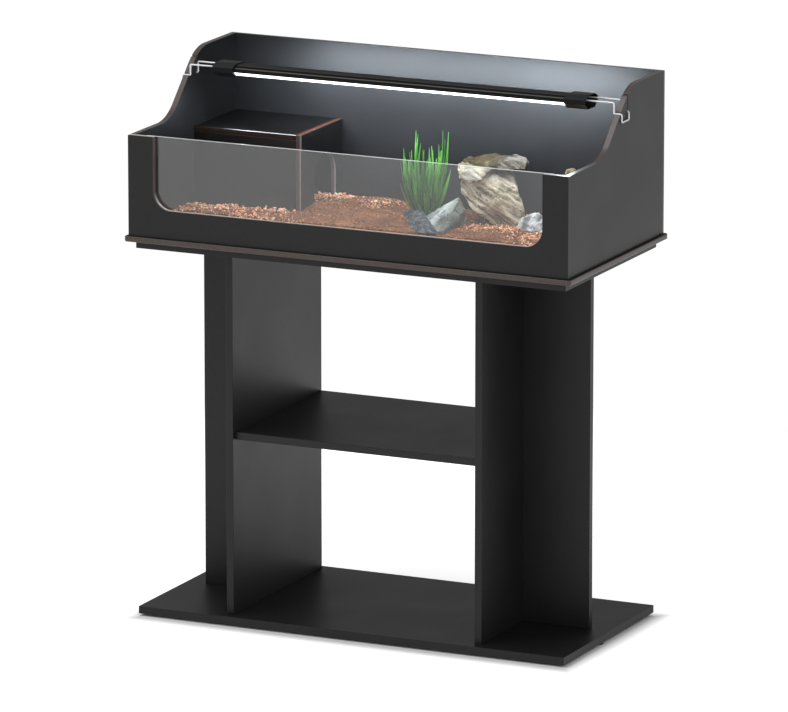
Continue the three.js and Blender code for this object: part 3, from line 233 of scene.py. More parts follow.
def laminate_paint(name, thin_axis=None, edge=EDGE, fibre=EDGE_FIBRE, top_highlight=None, front_shade=None,
                   specular=0.35, tones=LAMINATE_TONES, closed_beyond=None, front_highlight=None):
    """Satin black laminate with a fine pearl grain. With a thin axis, a board's edges show its core.

    For edges that look up, a painted highlight, with the Y where it comes in and where it is full.
    For edges that look ahead, a painted shade, and along those a painted highlight line, with its two X.
    Beyond the X of closed_beyond, on either side, an edge that looks sideways is laminated too.
    """
    paint = Paint(name, specular=specular)
    smudge = paint.noise(5.5, detail=4, roughness=0.6)
    pearl = paint.noise(900, detail=2)
    plain, worn, fleck = [srgb(tone) for tone in tones]
    face = paint.blend(paint.span(smudge, 0.35, 0.7), plain, worn)
    face = paint.blend(paint.span(pearl, 0.55, 0.75, 0, 0.35), face, fleck)
    roughness = paint.maths("ADD", paint.span(smudge, 0.3, 0.7, 0.4, 0.46),
                            paint.span(pearl, 0.3, 0.7, 0.05, -0.05))
    if thin_axis:
        fibres = paint.noise(420, detail=4, roughness=0.7)
        core = paint.blend(paint.span(fibres, 0.35, 0.7, 0, 0.7), srgb(edge), srgb(fibre))
        # A painted highlight on edges that look up, coming in towards the rear.
        if top_highlight:
            shade, start, end = top_highlight
            behind = paint.span(paint.at("Y"), start, end)
            pale = paint.maths("MULTIPLY", paint.span(paint.upwards(), 0.1, 0.7), behind)
            core = paint.blend(pale, core, srgb(shade))
        # A painted shade on edges that look ahead.
        if front_shade:
            ahead = paint.span(paint.forwards(), 0.3, 0.7)
            core = paint.blend(ahead, core, srgb(front_shade))
            # A painted highlight line along them.
            if front_highlight:
                shade, start, end = front_highlight
                line = paint.maths("MULTIPLY", ahead, paint.span(paint.at("X"), start, end))
                core = paint.blend(line, core, srgb(shade))
        flat = paint.faces_either_way(thin_axis)
        if closed_beyond:
            across = paint.maths("ABSOLUTE", paint.at("X"))
            outer = paint.span(across, closed_beyond - MM, closed_beyond)
            sideways = paint.maths("MULTIPLY", outer, paint.faces_either_way("X"))
            flat = paint.maths("MAXIMUM", flat, sideways)
        is_face = paint.span(flat, 0.7, 0.9)
        face = paint.blend(is_face, core, face)
        roughness = paint.maths("ADD", roughness, paint.span(is_face, 0, 1, -0.08, 0))
    paint.put("Base Color", face)
    paint.put("Roughness", roughness)
    return paint


def lid_paint():
    """The lid's laminate, with a front edge in painted shade and a painted highlight along its front arris,
    coming in towards the right.
    """
    paint = laminate_paint("lid_laminate", "Z", HIDE_EDGE, HIDE_FIBRE, front_shade=LID_FRONT_EDGE_SHADE,
                           specular=0.2, tones=LID_SHADED_TONES)
    face = paint.shader.inputs["Base Color"].links[0].from_socket
    # A painted highlight on the front arris, coming in towards the right.
    ahead, above = paint.span(paint.forwards(), 0.15, 0.4), paint.span(paint.upwards(), 0.25, 0.5)
    arris = paint.maths("MULTIPLY", ahead, above)
    arris = paint.maths("MULTIPLY", arris, paint.span(paint.at("X"), *LID_ARRIS_HIGHLIGHT_SPAN))
    paint.put("Base Color", paint.blend(arris, face, srgb(LID_ARRIS_HIGHLIGHT)))
    return paint


def smoothing_nodes():
    tree = bpy.data.node_groups.new("shade_smooth", "GeometryNodeTree")
    tree.interface.new_socket("Geometry", in_out="INPUT", socket_type="NodeSocketGeometry")
    tree.interface.new_socket("Geometry", in_out="OUTPUT", socket_type="NodeSocketGeometry")
    start, end = tree.nodes.new("NodeGroupInput"), tree.nodes.new("NodeGroupOutput")
    smooth = tree.nodes.new("GeometryNodeSetShadeSmooth")
    tree.links.new(start.outputs[0], smooth.inputs["Geometry"])
    tree.links.new(smooth.outputs[0], end.inputs[0])
    return tree


BOARD_EASE_MM = 0.8
LID_EASE_MM = 1.5
EASE_SEGMENTS = 3
EASE_OVER = 35              # degrees between two faces from which their edge is rounded
SAME_POINT_MM = 0.01


def dress(names, paint, ease_mm):
    """Gives CAD nodes a finish and rounds their sharp edges, with the flats kept flat in the shading."""
    smoothing = bpy.data.node_groups.get("shade_smooth") or smoothing_nodes()
    for name in names:
        o = nodes[name]
        o.data.materials.clear()
        o.data.materials.append(paint.material)
        if ease_mm:
            o.modifiers.new("weld", "WELD").merge_threshold = SAME_POINT_MM * MM
            bevel = o.modifiers.new("ease", "BEVEL")
            bevel.width = ease_mm * MM
            bevel.segments = EASE_SEGMENTS
            bevel.limit_method = "ANGLE"
            bevel.angle_limit = math.radians(EASE_OVER)
            o.modifiers.new("smooth", "NODES").node_group = smoothing
            o.modifiers.new("flats", "WEIGHTED_NORMAL").weight = 100


# -------------------------------- scene set-up
def aim(o, target):
    o.rotation_mode = "QUATERNION"
    o.rotation_quaternion = (Vector(target) - o.location).to_track_quat("-Z", "Y")


def make_camera():
    data = bpy.data.cameras.new("camera")
    camera = bpy.data.objects.new("camera", data)
    bpy.context.scene.collection.objects.link(camera)
    a, e = math.radians(CAMERA_AZIMUTH), math.radians(CAMERA_ELEVATION)
    back = Vector((math.sin(a) * math.cos(e), -math.cos(a) * math.cos(e), math.sin(e)))
    camera.location = Vector(CAMERA_TARGET) + back * CAMERA_DISTANCE
    aim(camera, CAMERA_TARGET)
    data.sensor_width = 36
    data.lens = CAMERA_LENS
    data.clip_end = 200
    bpy.context.scene.camera = camera


def soft_lamp(name, place, target, size, watts, colour=(1, 1, 1), size_y=None):
    data = bpy.data.lights.new(name, "AREA")
    data.energy = watts
    data.color = colour
    data.size = size
    if size_y:
        data.shape = "RECTANGLE"
        data.size_y = size_y
    lamp = bpy.data.objects.new(name, data)
    lamp.location = place
    aim(lamp, target)
    bpy.context.scene.collection.objects.link(lamp)
    return lamp


def make_world():
    world = bpy.data.worlds.new("studio")
    bpy.context.scene.world = world
    world.use_nodes = True
    tree = world.node_tree
    background = tree.nodes["Background"]
    background.inputs["Color"].default_value = (1, 1, 1, 1)
    path = tree.nodes.new("ShaderNodeLightPath")
    strength = AMBIENT
    levels = {"Is Glossy Ray": SKY_IN_GLOSS, "Is Transmission Ray": 1.0, "Is Camera Ray": 1.0}
    for ray, level in levels.items():
        choice = tree.nodes.new("ShaderNodeMix")
        tree.links.new(path.outputs[ray], choice.inputs["Factor"])
        if isinstance(strength, float):
            choice.inputs["A"].default_value = strength
        else:
            tree.links.new(strength, choice.inputs["A"])
        choice.inputs["B"].default_value = level
        strength = choice.outputs["Result"]
    tree.links.new(strength, background.inputs["Strength"])


def make_floor():
    mesh = bpy.data.meshes.new("floor")
    corners = [(FLOOR_HALF * x, FLOOR_HALF * y, 0) for x, y in ((-1, -1), (1, -1), (1, 1), (-1, 1))]
    mesh.from_pydata(corners, [], [(0, 1, 2, 3)])
    floor = bpy.data.objects.new("floor", mesh)
    bpy.context.scene.collection.objects.link(floor)
    paint = Paint("floor", roughness=0.95, specular=0.0)
    grain = paint.noise(30, detail=2)
    colour = paint.blend(paint.span(grain, 0.3, 0.7), srgb("#f4f4f4"), srgb("#f7f7f7"))
    distance = paint.node("VectorMath", {0: paint.place}, operation="LENGTH").outputs["Value"]
    lift = paint.span(distance, FLOOR_NEAR, FLOOR_FAR, FLOOR_LIFT, FLOOR_WHITE)
    # Near the base plate the floor's own white fades out: painted shadow over the real one.
    beyond = []
    for axis, shift, edge in zip("XY", CONTACT_SHIFT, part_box("stand_base_plate")[1]):
        off = paint.maths("ABSOLUTE", paint.maths("SUBTRACT", paint.at(axis), shift))
        beyond.append(paint.maths("SUBTRACT", off, edge))
    outside = paint.maths("MAXIMUM", *beyond)
    lift = paint.maths("MULTIPLY", lift, paint.span(outside, 0, CONTACT_REACH))
    path = paint.node("LightPath").outputs
    mirrored = paint.span(distance, FLOOR_NEAR, FLOOR_FAR, *FLOOR_IN_GLOSS)
    mirrored = paint.maths("MULTIPLY", mirrored, path["Is Glossy Ray"])
    seen = paint.maths("MAXIMUM", path["Is Camera Ray"], path["Is Transmission Ray"])
    lift = paint.node("Mix", {"Factor": seen, "A": mirrored, "B": lift}).outputs["Result"]
    looked_at = paint.maths("MAXIMUM", seen, path["Is Glossy Ray"])
    far = paint.maths("MULTIPLY", looked_at, paint.span(distance, FLOOR_FAR, FLOOR_UNLIT))
    paint.put("Base Color", paint.blend(far, colour, (0, 0, 0, 1)))
    paint.put("Emission Color", (1, 1, 1, 1))
    paint.put("Emission Strength", lift)
    mesh.materials.append(paint.material)


def make_lamps():
    for name, place, size, watts in STUDIO_LAMPS:
        soft_lamp(name, place, STUDIO_TARGET, size, watts)


def led_lamp(name, start, turn, length, watts, width=LED_WIDTH):
    """A part of the strip's light, turned in a direction. With no width it is a small square."""
    lamp = soft_lamp(name, start, Vector(start) + Vector(turn), length, watts, LED_COLOUR, width)
    lamp.visible_camera = False
    if width:
        lamp.data.spread = math.radians(LED_SPREAD)


def make_led_light():
    """The light of the lamp's own strip: narrow lamps under the diffuser, turned half towards the rear."""
    low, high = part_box("lamp_diffuser")
    middle = (low + high) / 2
    left, right = low.x + LED_INSET, high.x - LED_INSET
    under = (middle.x, middle.y, low.z - LED_DROP)
    length = high.x - low.x - 2 * LED_INSET
    led_lamp("led_rear", under, (0, 1, -0.15), length, LED_WATTS)
    led_lamp("led_down", under, (0, 0.2, -1), length, LED_DOWN_WATTS)
    bright = Vector(((LED_RIGHT_FROM + right) / 2, middle.y, low.z - LED_RIGHT_DROP))
    led_lamp("led_rear_right", bright, (0, 1, -0.1), right - LED_RIGHT_FROM, LED_RIGHT_WATTS)
    for name, x, turn in (("led_left", left, (-1, -0.7, -1)), ("led_right", right, (1, -0.7, -1))):
        start = Vector((x, middle.y, low.z - LED_END_DROP))
        led_lamp(name, start, turn, LED_END_SIZE, LED_END_WATTS, width=None)


# -------------------------------- meshes
HIGH_ABOVE = 1.2            # over everything in the table


def add_piece(name, mesh, body):
    """A piece of the scene, which moves with a body of the model."""
    o = bpy.data.objects.new(name, mesh)
    bpy.context.scene.collection.objects.link(o)
    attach(o, body)
    return o


def make_object(name, vertices, faces, materials, body, smooth=False):
    mesh = bpy.data.meshes.new(name)
    mesh.from_pydata([tuple(v) for v in vertices], [], [tuple(f) for f in faces])
    mesh.update()
    if smooth:
        mesh.shade_smooth()
    for material in materials:
        mesh.materials.append(material)
    return add_piece(name, mesh, body)


def surface_of(name):
    """A search tree over a CAD node's faces."""
    data = nodes[name].data
    return BVHTree.FromPolygons([v.co for v in data.vertices], [p.vertices for p in data.polygons])


def point_under(tree, x, y):
    """Where a plumb line meets a surface, or None."""
    return tree.ray_cast(Vector((x, y, HIGH_ABOVE)), Vector((0, 0, -1)))[0]


def fractal(place, scale, octaves, gain=0.5):
    """Noise with finer and weaker copies of itself on top."""
    total, amplitude, frequency = 0.0, 1.0, scale
    for _ in range(octaves):
        total += amplitude * noise.noise(Vector(place) * frequency)
        amplitude *= gain
        frequency *= 2.1
    return total


# -------------------------------- wire brackets
WIRE_RADIUS_MM = 1.75
WIRE_BEND_MM = 3.0
WIRE_SIDES = 16
WIRE_BEND_STEPS = 7
HOOK_INNER_GAP_MM = 1.25
HOOK_DROP_MM = 23.0


def rounded_path(corners, radius):
    """A path whose right-angled corners are bent round."""
    path = [corners[0]]
    for before, corner, after in zip(corners, corners[1:], corners[2:]):
        to_before = (before - corner).normalized()
        to_after = (after - corner).normalized()
        centre = corner + radius * (to_before + to_after)
        for step in range(WIRE_BEND_STEPS + 1):
            angle = step / WIRE_BEND_STEPS * math.pi / 2
            inwards = math.cos(angle) * to_after + math.sin(angle) * to_before
            path.append(centre - radius * inwards)
    path.append(corners[-1])
    return path


def tube_faces(rings, sides):
    """The faces of a tube of rings of points, closed at both ends."""
    faces = []
    for i in range(rings - 1):
        for k in range(sides):
            a, b = i * sides + k, i * sides + (k + 1) % sides
            faces.append((a, b, b + sides, a + sides))
    faces.append(tuple(reversed(range(sides))))
    faces.append(tuple(range((rings - 1) * sides, rings * sides)))
    return faces


def tube(path, radius, sides):
    """A round wire along a path, with flat ends."""
    vertices = []
    side = None
    count = len(path)
    for i, point in enumerate(path):
        ahead = (path[min(i + 1, count - 1)] - path[max(i - 1, 0)]).normalized()
        if side is None:
            side = ahead.orthogonal().normalized()
        side = (side - ahead * side.dot(ahead)).normalized()
        other = ahead.cross(side)
        for k in range(sides):
            angle = 2 * math.pi * k / sides
            vertices.append(point + radius * (math.cos(angle) * side + math.sin(angle) * other))
    return vertices, tube_faces(count, sides)


def make_wire(side, sign, material):
    """A bracket: its prongs run out of the lamp, drop, pass outwards and join in the hook's foot."""
    node = f"{side}_wire_bracket"
    low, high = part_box(node)
    radius = WIRE_RADIUS_MM * MM
    panel_low, panel_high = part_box(f"{side}_side_panel")
    inner_face = panel_low.x if sign > 0 else panel_high.x
    hook_x = (high.x - radius) if sign > 0 else (low.x + radius)
    tail_x = low.x if sign > 0 else high.x
    drop_x = inner_face - sign * (HOOK_INNER_GAP_MM * MM + radius)
    front, rear = low.y + radius, high.y - radius
    top, foot = high.z - radius, low.z + radius
    run = top - HOOK_DROP_MM * MM
    half = [(tail_x, front, top), (drop_x, front, top), (drop_x, front, run), (hook_x, front, run),
            (hook_x, front, foot)]
    corners = [Vector(p) for p in half] + [Vector((x, rear, z)) for x, _, z in reversed(half)]
    vertices, faces = tube(rounded_path(corners, WIRE_BEND_MM * MM), radius, WIRE_SIDES)
    wire = make_object(f"{side}_wire", vertices, faces, [material], f"{side}_bracket",
                       smooth=True)
    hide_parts(node)


# -------------------------------- pane
PANE_EASE_MM = 0.5
GLASS_IOR = 1.68


def make_pane(glass, ground):
    """The pane as a clear plate whose cut edges are ground and eased."""
    low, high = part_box("front_pane")
    ease = PANE_EASE_MM * MM
    vertices = []
    for y, inset in ((low.y, ease), (low.y + ease, 0), (high.y - ease, 0), (high.y, ease)):
        for x, z in ((low.x + inset, low.z + inset), (high.x - inset, low.z + inset),
                     (high.x - inset, high.z - inset), (low.x + inset, high.z - inset)):
            vertices.append((x, y, z))
    faces = [(0, 1, 2, 3)]
    for ring in range(3):
        for k in range(4):
            a, b = ring * 4 + k, ring * 4 + (k + 1) % 4
            faces.append((b, a, a + 4, b + 4))
    faces.append((15, 14, 13, 12))
    pane = make_object("pane", vertices, faces, [glass, ground], "table")
    for polygon in pane.data.polygons:
        polygon.material_index = 0 if abs(polygon.normal.y) > 0.9 else 1
    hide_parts("front_pane")


# -------------------------------- substrate
BED_CELL_MM = 3.0
CHIP_SHAPES = 14
CHIP_COUNT = 7500
CHIP_SMALLEST_MM = 2.2
CHIP_LARGEST_MM = 8.6
CHIP_HEAP_MM = 3.0
GRIT_COUNT = 9000
GRIT_SMALLEST_MM = 0.5
GRIT_LARGEST_MM = 2.4


# Where chips lie: along a crest across the middle, left and right of these X, and not on a sandy tongue.
CREST = (-0.06, 0.14)
CREST_SPREAD = (0.2, 0.07)
LEFT_CHIPS_TO = -0.2
RIGHT_CHIPS_FROM = 0.13
ZONE_EDGE = 0.02            # how gradually these two areas end
TONGUE = (0.215, -0.03)
TONGUE_TURN = (0.61, 0.79)  # cosine and sine
TONGUE_HALF = (0.085, 0.045)
# Relief of the bed: waves, grains and streaks.
BED_WAVES, BED_GRAINS, BED_STREAKS = 0.0022, 0.0017, 0.002
BIT_MARGIN = 0.004          # no loose bit lies closer to the walls
BIT_TILT = 0.5              # radians
CHIP_POINTS = 9


def bed_zone(x, y):
    """How chippy the bed is at a place: 1 at the left, the right and along the crest, 0 on sand."""
    clumps = max(0.0, min(1.0, 0.62 + 1.5 * noise.noise(Vector((x * 19, y * 19, 9.4)))))
    crest = (1.2 * clumps * math.exp(-((y - CREST[1]) / CREST_SPREAD[1]) ** 2)
             * math.exp(-((x - CREST[0]) / CREST_SPREAD[0]) ** 2))
    left = 1 / (1 + math.exp((x - LEFT_CHIPS_TO) / ZONE_EDGE))
    east, north = x - TONGUE[0], y - TONGUE[1]
    along = TONGUE_TURN[0] * east - TONGUE_TURN[1] * north
    across = TONGUE_TURN[1] * east + TONGUE_TURN[0] * north
    tongue = math.exp(-(along / TONGUE_HALF[0]) ** 4 - (across / TONGUE_HALF[1]) ** 4)
    right = 1 / (1 + math.exp((RIGHT_CHIPS_FROM - x) / ZONE_EDGE)) - 1.1 * tongue
    patch = 0.75 + 0.9 * noise.noise(Vector((x * 11, y * 11, 3.1)))
    return max(0.0, min(1.0, max(crest, left, right) * patch))


def make_bed(material):
    """The bed as a closed, uneven sheet over its CAD solid. Returns its surface, for what lies on it."""
    tree = surface_of("substrate_bed")
    low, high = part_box("substrate_bed")
    cell = BED_CELL_MM * MM
    columns = round((high.x - low.x) / cell)
    rows = round((high.y - low.y) / cell)
    index, tops, bottoms = {}, [], []
    for i in range(columns + 1):
        for j in range(rows + 1):
            x = low.x + (high.x - low.x) * i / columns
            y = low.y + (high.y - low.y) * j / rows
            hit = point_under(tree, x * 0.9999, y * 0.9999 + 1e-5)  # a hair inside the rim
            if hit is None:
                continue
            relief = (BED_WAVES * fractal((x, y, 0.2), 22, 3)
                      + BED_GRAINS * fractal((x, y, 7.7), 110, 3, 0.65)
                      + BED_STREAKS * fractal((0.25 * (x + y), x - y, 3.0), 60, 3, 0.6))
            index[i, j] = len(tops)
            tops.append((x, y, hit.z + relief))
            bottoms.append((x, y, low.z))
    count = len(tops)
    faces, rim = [], {}
    for i in range(columns):
        for j in range(rows):
            ring = [(i, j), (i + 1, j), (i + 1, j + 1), (i, j + 1)]
            if all(c in index for c in ring):
                face = [index[c] for c in ring]
                faces.append(face)
                faces.append([v + count for v in reversed(face)])
                for a, b in zip(face, face[1:] + face[:1]):
                    if (b, a) in rim:
                        del rim[b, a]
                    else:
                        rim[a, b] = True
    for a, b in rim:
        faces.append((b, a, a + count, b + count))
    bed = make_object("substrate", tops + bottoms, faces, [material], "table", smooth=True)
    shade = bed.data.attributes.new("chippy", "FLOAT", "POINT")
    shade.data.foreach_set("value", [bed_zone(x, y) for x, y, _ in tops + bottoms])
    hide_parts("substrate_bed")
    return BVHTree.FromPolygons(tops, [f for f in faces if max(f) < count])


def chip_shape(rng):
    """One angular chip of bark: the hull of a few points on a flat oval."""
    shape = bmesh.new()
    for _ in range(CHIP_POINTS):
        direction = Vector((rng.gauss(0, 1), rng.gauss(0, 1), rng.gauss(0, 1))).normalized()
        width, height = rng.uniform(0.55, 0.8), rng.uniform(0.3, 0.6)
        shape.verts.new((direction.x, direction.y * width, direction.z * height))
    bmesh.ops.convex_hull(shape, input=shape.verts)
    loose = [v for v in shape.verts if not v.link_faces]
    bmesh.ops.delete(shape, geom=loose, context="VERTS")
    shape.verts.index_update()
    vertices = np.array([v.co for v in shape.verts])
    faces = [[v.index for v in f.verts] for f in shape.faces]
    shape.free()
    return vertices, faces


def scatter(name, surface, material, seed, count, share, smallest_mm, largest_mm, heap_mm):
    """Loose bits over the bed as one piece. A bit is as likely at a place as share says for its zone."""
    rng = random.Random(seed)
    shapes = [chip_shape(rng) for _ in range(CHIP_SHAPES)]
    low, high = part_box("substrate_bed")
    vertices, faces, placed = [], [], 0
    while placed < count:
        x, y = [rng.uniform(low[i] + BIT_MARGIN, high[i] - BIT_MARGIN) for i in (0, 1)]
        zone = bed_zone(x, y)
        if rng.random() > share(zone):
            continue
        hit = point_under(surface, x, y)
        if hit is None:
            continue
        size = MM * (smallest_mm + (largest_mm - smallest_mm) * share(zone) * rng.random() ** 1.4)
        lift = size * 0.35 + zone * rng.uniform(0, heap_mm * MM)
        turn = Matrix.Rotation(rng.uniform(0, 2 * math.pi), 3, "Z")
        pitch, roll = rng.gauss(0, BIT_TILT), rng.gauss(0, BIT_TILT)
        tilt = Matrix.Rotation(pitch, 3, "X") @ Matrix.Rotation(roll, 3, "Y")
        points, hulls = shapes[rng.randrange(CHIP_SHAPES)]
        matrix = np.array(turn @ tilt) * size
        first = len(vertices)
        vertices.extend((points @ matrix.T + np.array(hit) + (0, 0, lift)).tolist())
        faces.extend([[v + first for v in f] for f in hulls])
        placed += 1
    make_object(name, vertices, faces, [material], "table")


# -------------------------------- stones
LEDGE_RISE = 0.82           # the share of a bed's pitch over which it rises, before it breaks off
TAN_STRATA = (0.55, 0.3, 0.9)
BLEACHED_PLACE = (0.128, 0.1, 0.938)  # the pale, speckled block under the boulder's cap
CAP_FLAT_FROM = 0.962       # the height from which the cap is pressed flat, higher at its lobe
CAP_FLATTENING = 0.6
CAP_LOBE_FROM = 0.182
CAP_LOBE_RISE = 0.012
CAP_STEP_LENGTH = 0.006
# A painted shade darkens a stone where less light falls, coming in along axes: (shade, ((axis, start, full),
# ...)).
TAN_PAINTED_SHADES = [
    # Painted shadow in the hollow under the cap, and painted shade on the cap's flat, its lobe, its left end
    # and the stone in the corner.
    ("#85858b", (("Z", 0.925, 0.945), ("X", 0.15, 0.165), ("X", 0.27, 0.26))),  # the lobe and its hollow
    ("#a39c8c", (("Z", 0.953, 0.96), ("X", 0.194, 0.182))),                     # the flat of the cap
    ("#9c9686", (("X", 0.26, 0.27),)),                                          # the stone in the corner
    ("#85827a", (("Z", 0.953, 0.96), ("X", 0.165, 0.15))),                      # the cap's left end
]
# Stones: piece, CAD node, its paint, slot, voxel in mm, relief (scale, depth in mm, octaves), beds
# (direction, pitch, depth in mm) and seed. The paints are made in make_stones.
STONES = [
    ("main_boulder", "main_rock", "tan", "tan_stone", 2.4, [(24, 2.2, 3), (85, 1.0, 4)],
     [((0.55, 0.1, 0.83), 0.031, 2.6), ((0.5, -0.2, 0.8), 0.011, 1.1)], 0.3),
    ("corner_boulder", "corner_rock", "tan", "tan_stone", 2.2, [(34, 2.2, 3), (95, 2.8, 4)],
     [((0.3, 0.2, 0.9), 0.022, 2.2)], 4.4),
    ("right_boulder", "right_rock", "white", "pale_stone", 1.8, [(42, 4.2, 2), (120, 1.1, 3)],
     [((-0.75, 0.2, 0.6), 0.019, 3.4)], 9.4),
    ("pale_slab", "pale_slate", "pale", "pale_stone", 2.0, [(28, 2.6, 3), (120, 0.8, 3)],
     [((0.7, 0.2, -0.7), 0.026, 1.8)], 11.3),
    ("dark_slab", "dark_slate", "slate", "dark_slate", 2.0, [(30, 1.2, 3), (130, 0.5, 3)],
     [((0.5, 0.5, 0.6), 0.012, 1.0)], 15.1),
]


def remeshed(name, voxel_mm):
    """A CAD node's shape as an even, closed mesh."""
    source = nodes[name].data
    copy = bpy.data.objects.new(name + "_copy", source.copy())
    bpy.context.scene.collection.objects.link(copy)
    copy.modifiers.new("weld", "WELD").merge_threshold = SAME_POINT_MM * MM
    remesh = copy.modifiers.new("remesh", "REMESH")
    remesh.mode = "VOXEL"
    remesh.voxel_size = voxel_mm * MM
    copy.modifiers.new("smooth", "SMOOTH").iterations = 1
    evaluated = copy.evaluated_get(bpy.context.evaluated_depsgraph_get())
    mesh = bpy.data.meshes.new_from_object(evaluated)
    bpy.data.objects.remove(copy)
    return mesh


def ledges(places, direction, pitch, seed):
    """Beds that rise slowly and break off sharply, along a direction, each fading in and out: -1 to 1."""
    along = places @ np.array(Vector(direction).normalized())
    shift = [0.012 * noise.noise(Vector(p) * 14 + Vector((seed, 0, 0)))
             + 0.003 * noise.noise(Vector(p) * 70 + Vector((0, seed, 0))) for p in places]
    phase = ((along + shift) / pitch) % 1.0
    strength = [0.55 + 0.9 * noise.noise(Vector(p) * 24 + Vector((0, 0, seed))) for p in places]
    rising = 2 * phase / LEDGE_RISE - 1
    breaking = 1 - 2 * (phase - LEDGE_RISE) / (1 - LEDGE_RISE)
    saw = np.where(phase < LEDGE_RISE, rising, breaking)
    return saw * np.clip(strength, 0, 1)


def pressed(places):
    """The boulder's cap, broken off flat apart from its lobe at the right."""
    lobe = ((places[:, 0] - CAP_LOBE_FROM) / CAP_STEP_LENGTH).clip(0, 1)
    above = (places[:, 2] - CAP_FLAT_FROM - CAP_LOBE_RISE * lobe).clip(0, None)
    flat = places.copy()
    flat[:, 2] -= CAP_FLATTENING * above
    return flat


def make_stone(name, node, material, voxel_mm, relief, strata, seed, reshape=None):
    """A stone over its CAD solid: the even mesh with weathering, and beds that stand out and break off."""
    mesh = remeshed(node, voxel_mm)
    count = len(mesh.vertices)
    places = np.zeros(count * 3)
    normals = np.zeros(count * 3)
    mesh.vertices.foreach_get("co", places)
    mesh.vertices.foreach_get("normal", normals)
    places, normals = places.reshape(-1, 3), normals.reshape(-1, 3)
    if reshape:
        places = reshape(places)
    shift = np.zeros(count)
    for scale, depth_mm, octaves in relief:
        shift += [depth_mm * MM * fractal(p + seed, scale, octaves, 0.55) for p in places]
    for direction, pitch, depth_mm in strata:
        shift += depth_mm * MM * ledges(places, direction, pitch, seed)
    moved = places + normals * shift[:, None]
    mesh.vertices.foreach_set("co", moved.ravel())
    crevice = mesh.attributes.new("crevice", "FLOAT", "POINT")
    spread = max(1e-9, float(np.std(shift)))
    crevice.data.foreach_set("value", (0.5 - 0.25 * shift / spread).clip(0, 1).astype(np.float32))
    mesh.materials.clear()
    mesh.materials.append(material)
    mesh.update()
    mesh.name = name
    stone = add_piece(name, mesh, "table")
    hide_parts(node)


def stone_paint(name, light, middle, dark, spots, strata, painted_shades=(), underside_shade=None, crevices=0.85,
                bleached=None, streaks=None):
    """Weathered stone, in four shades, stretched along its strata.

    The shade for what looks down is painted shade, and crevices says how dark the hollows are. bleached is a
    pale block (place, reach, shade), and streaks are drawn lines (shade, slope in degrees).
    """
    paint = Paint(name, roughness=0.85, specular=0.2)
    broad = paint.noise(16, detail=5, roughness=0.62, distortion=0.4)
    bands = paint.noise(34, detail=4, roughness=0.6, stretch=strata)
    fine = paint.noise(260, detail=4, roughness=0.65)
    value = paint.maths("ADD", paint.maths("MULTIPLY", broad, 0.55),
                        paint.maths("MULTIPLY", bands, 0.45))
    colour = paint.tone(value, [(0.36, dark), (0.45, middle), (0.55, light)])
    colour = paint.blend(paint.span(fine, 0.54, 0.66, 0, 0.6), colour, srgb(spots))
    pits = paint.span(paint.cells(75), 0.1, 0.28, 0.7, 0)
    colour = paint.blend(pits, colour, srgb(dark))
    attribute = paint.node("Attribute", attribute_name="crevice").outputs["Fac"]
    colour = paint.blend(paint.span(attribute, 0.5, 0.85, 0, crevices), colour, srgb(dark))
    if bleached:
        middle_of, reach, shade = bleached
        offset = paint.node("VectorMath", {0: paint.place, 1: middle_of}, operation="SUBTRACT")
        away = paint.node("VectorMath", {0: offset.outputs[0]}, operation="LENGTH").outputs["Value"]
        away = paint.maths("ADD", away, paint.span(broad, 0.3, 0.7, -0.3 * reach, 0.3 * reach))
        speckled = paint.blend(paint.span(fine, 0.52, 0.6, 0, 0.7), srgb(shade), srgb(middle))
        speckled = paint.blend(pits, speckled, srgb(dark))
        colour = paint.blend(paint.span(away, 0.85 * reach, reach, 0.9, 0), colour, speckled)
    if streaks:
        shade, slope = streaks
        drawn = paint.streaks(110, slope, 10)
        colour = paint.blend(paint.span(drawn, 0.51, 0.58, 0, 0.8), colour, srgb(shade))
    # Painted shades, each coming in along its axes.
    for shade, spans in painted_shades:
        factor = 1.0
        for axis, start, full in spans:
            factor = paint.maths("MULTIPLY", paint.span(paint.at(axis), start, full), factor)
        colour = paint.blend(factor, colour, srgb(shade), "MULTIPLY")
    # Painted shade on what looks down.
    if underside_shade:
        below = paint.span(paint.upwards(), -0.3, -0.75)
        colour = paint.blend(below, colour, srgb(underside_shade), "MULTIPLY")
    paint.put("Base Color", colour)
    relief = paint.maths("ADD", fine, paint.maths("MULTIPLY", bands, 1.5))
    paint.bump(paint.maths("SUBTRACT", relief, pits), 2.0)
    return paint.material


def make_stones():
    paints = {
        # The tan stone carries painted shade on and under its cap, and on faces that look down.
        "tan": stone_paint("tan_stone", "#ded3b8", "#b5aa90", "#574d3c", "#e6dfc8", TAN_STRATA, TAN_PAINTED_SHADES,
                           "#6c6b78", 0.5, (BLEACHED_PLACE, 0.027, "#cfccbf"), ("#e3d9bd", 35)),
        # The pale stone is painted darker towards its right: painted shade where the boulder shades it.
        "pale": stone_paint("pale_stone", "#c4c9c2", "#a6aba5", "#5c605e", "#dfe3df", (1.0, 0.2, 0.5),
                            [("#9fa29a", (("X", 0.08, 0.105),))], crevices=0.7),
        "white": stone_paint("white_stone", "#e2e4e3", "#bfc3c3", "#666c6e", "#f0f1f0", (0.6, 0.3, 0.8)),
        "slate": stone_paint("slate", "#3c3f42", "#26292b", "#131416", "#515557", (1.0, 0.12, 0.4),
                             streaks=("#737778", 41)),
    }
    for name, node, paint, slot, voxel_mm, relief, strata, seed in STONES:
        reshape = pressed if name == "main_boulder" else None
        make_stone(name, node, paints[paint], voxel_mm, relief, strata, seed, reshape)


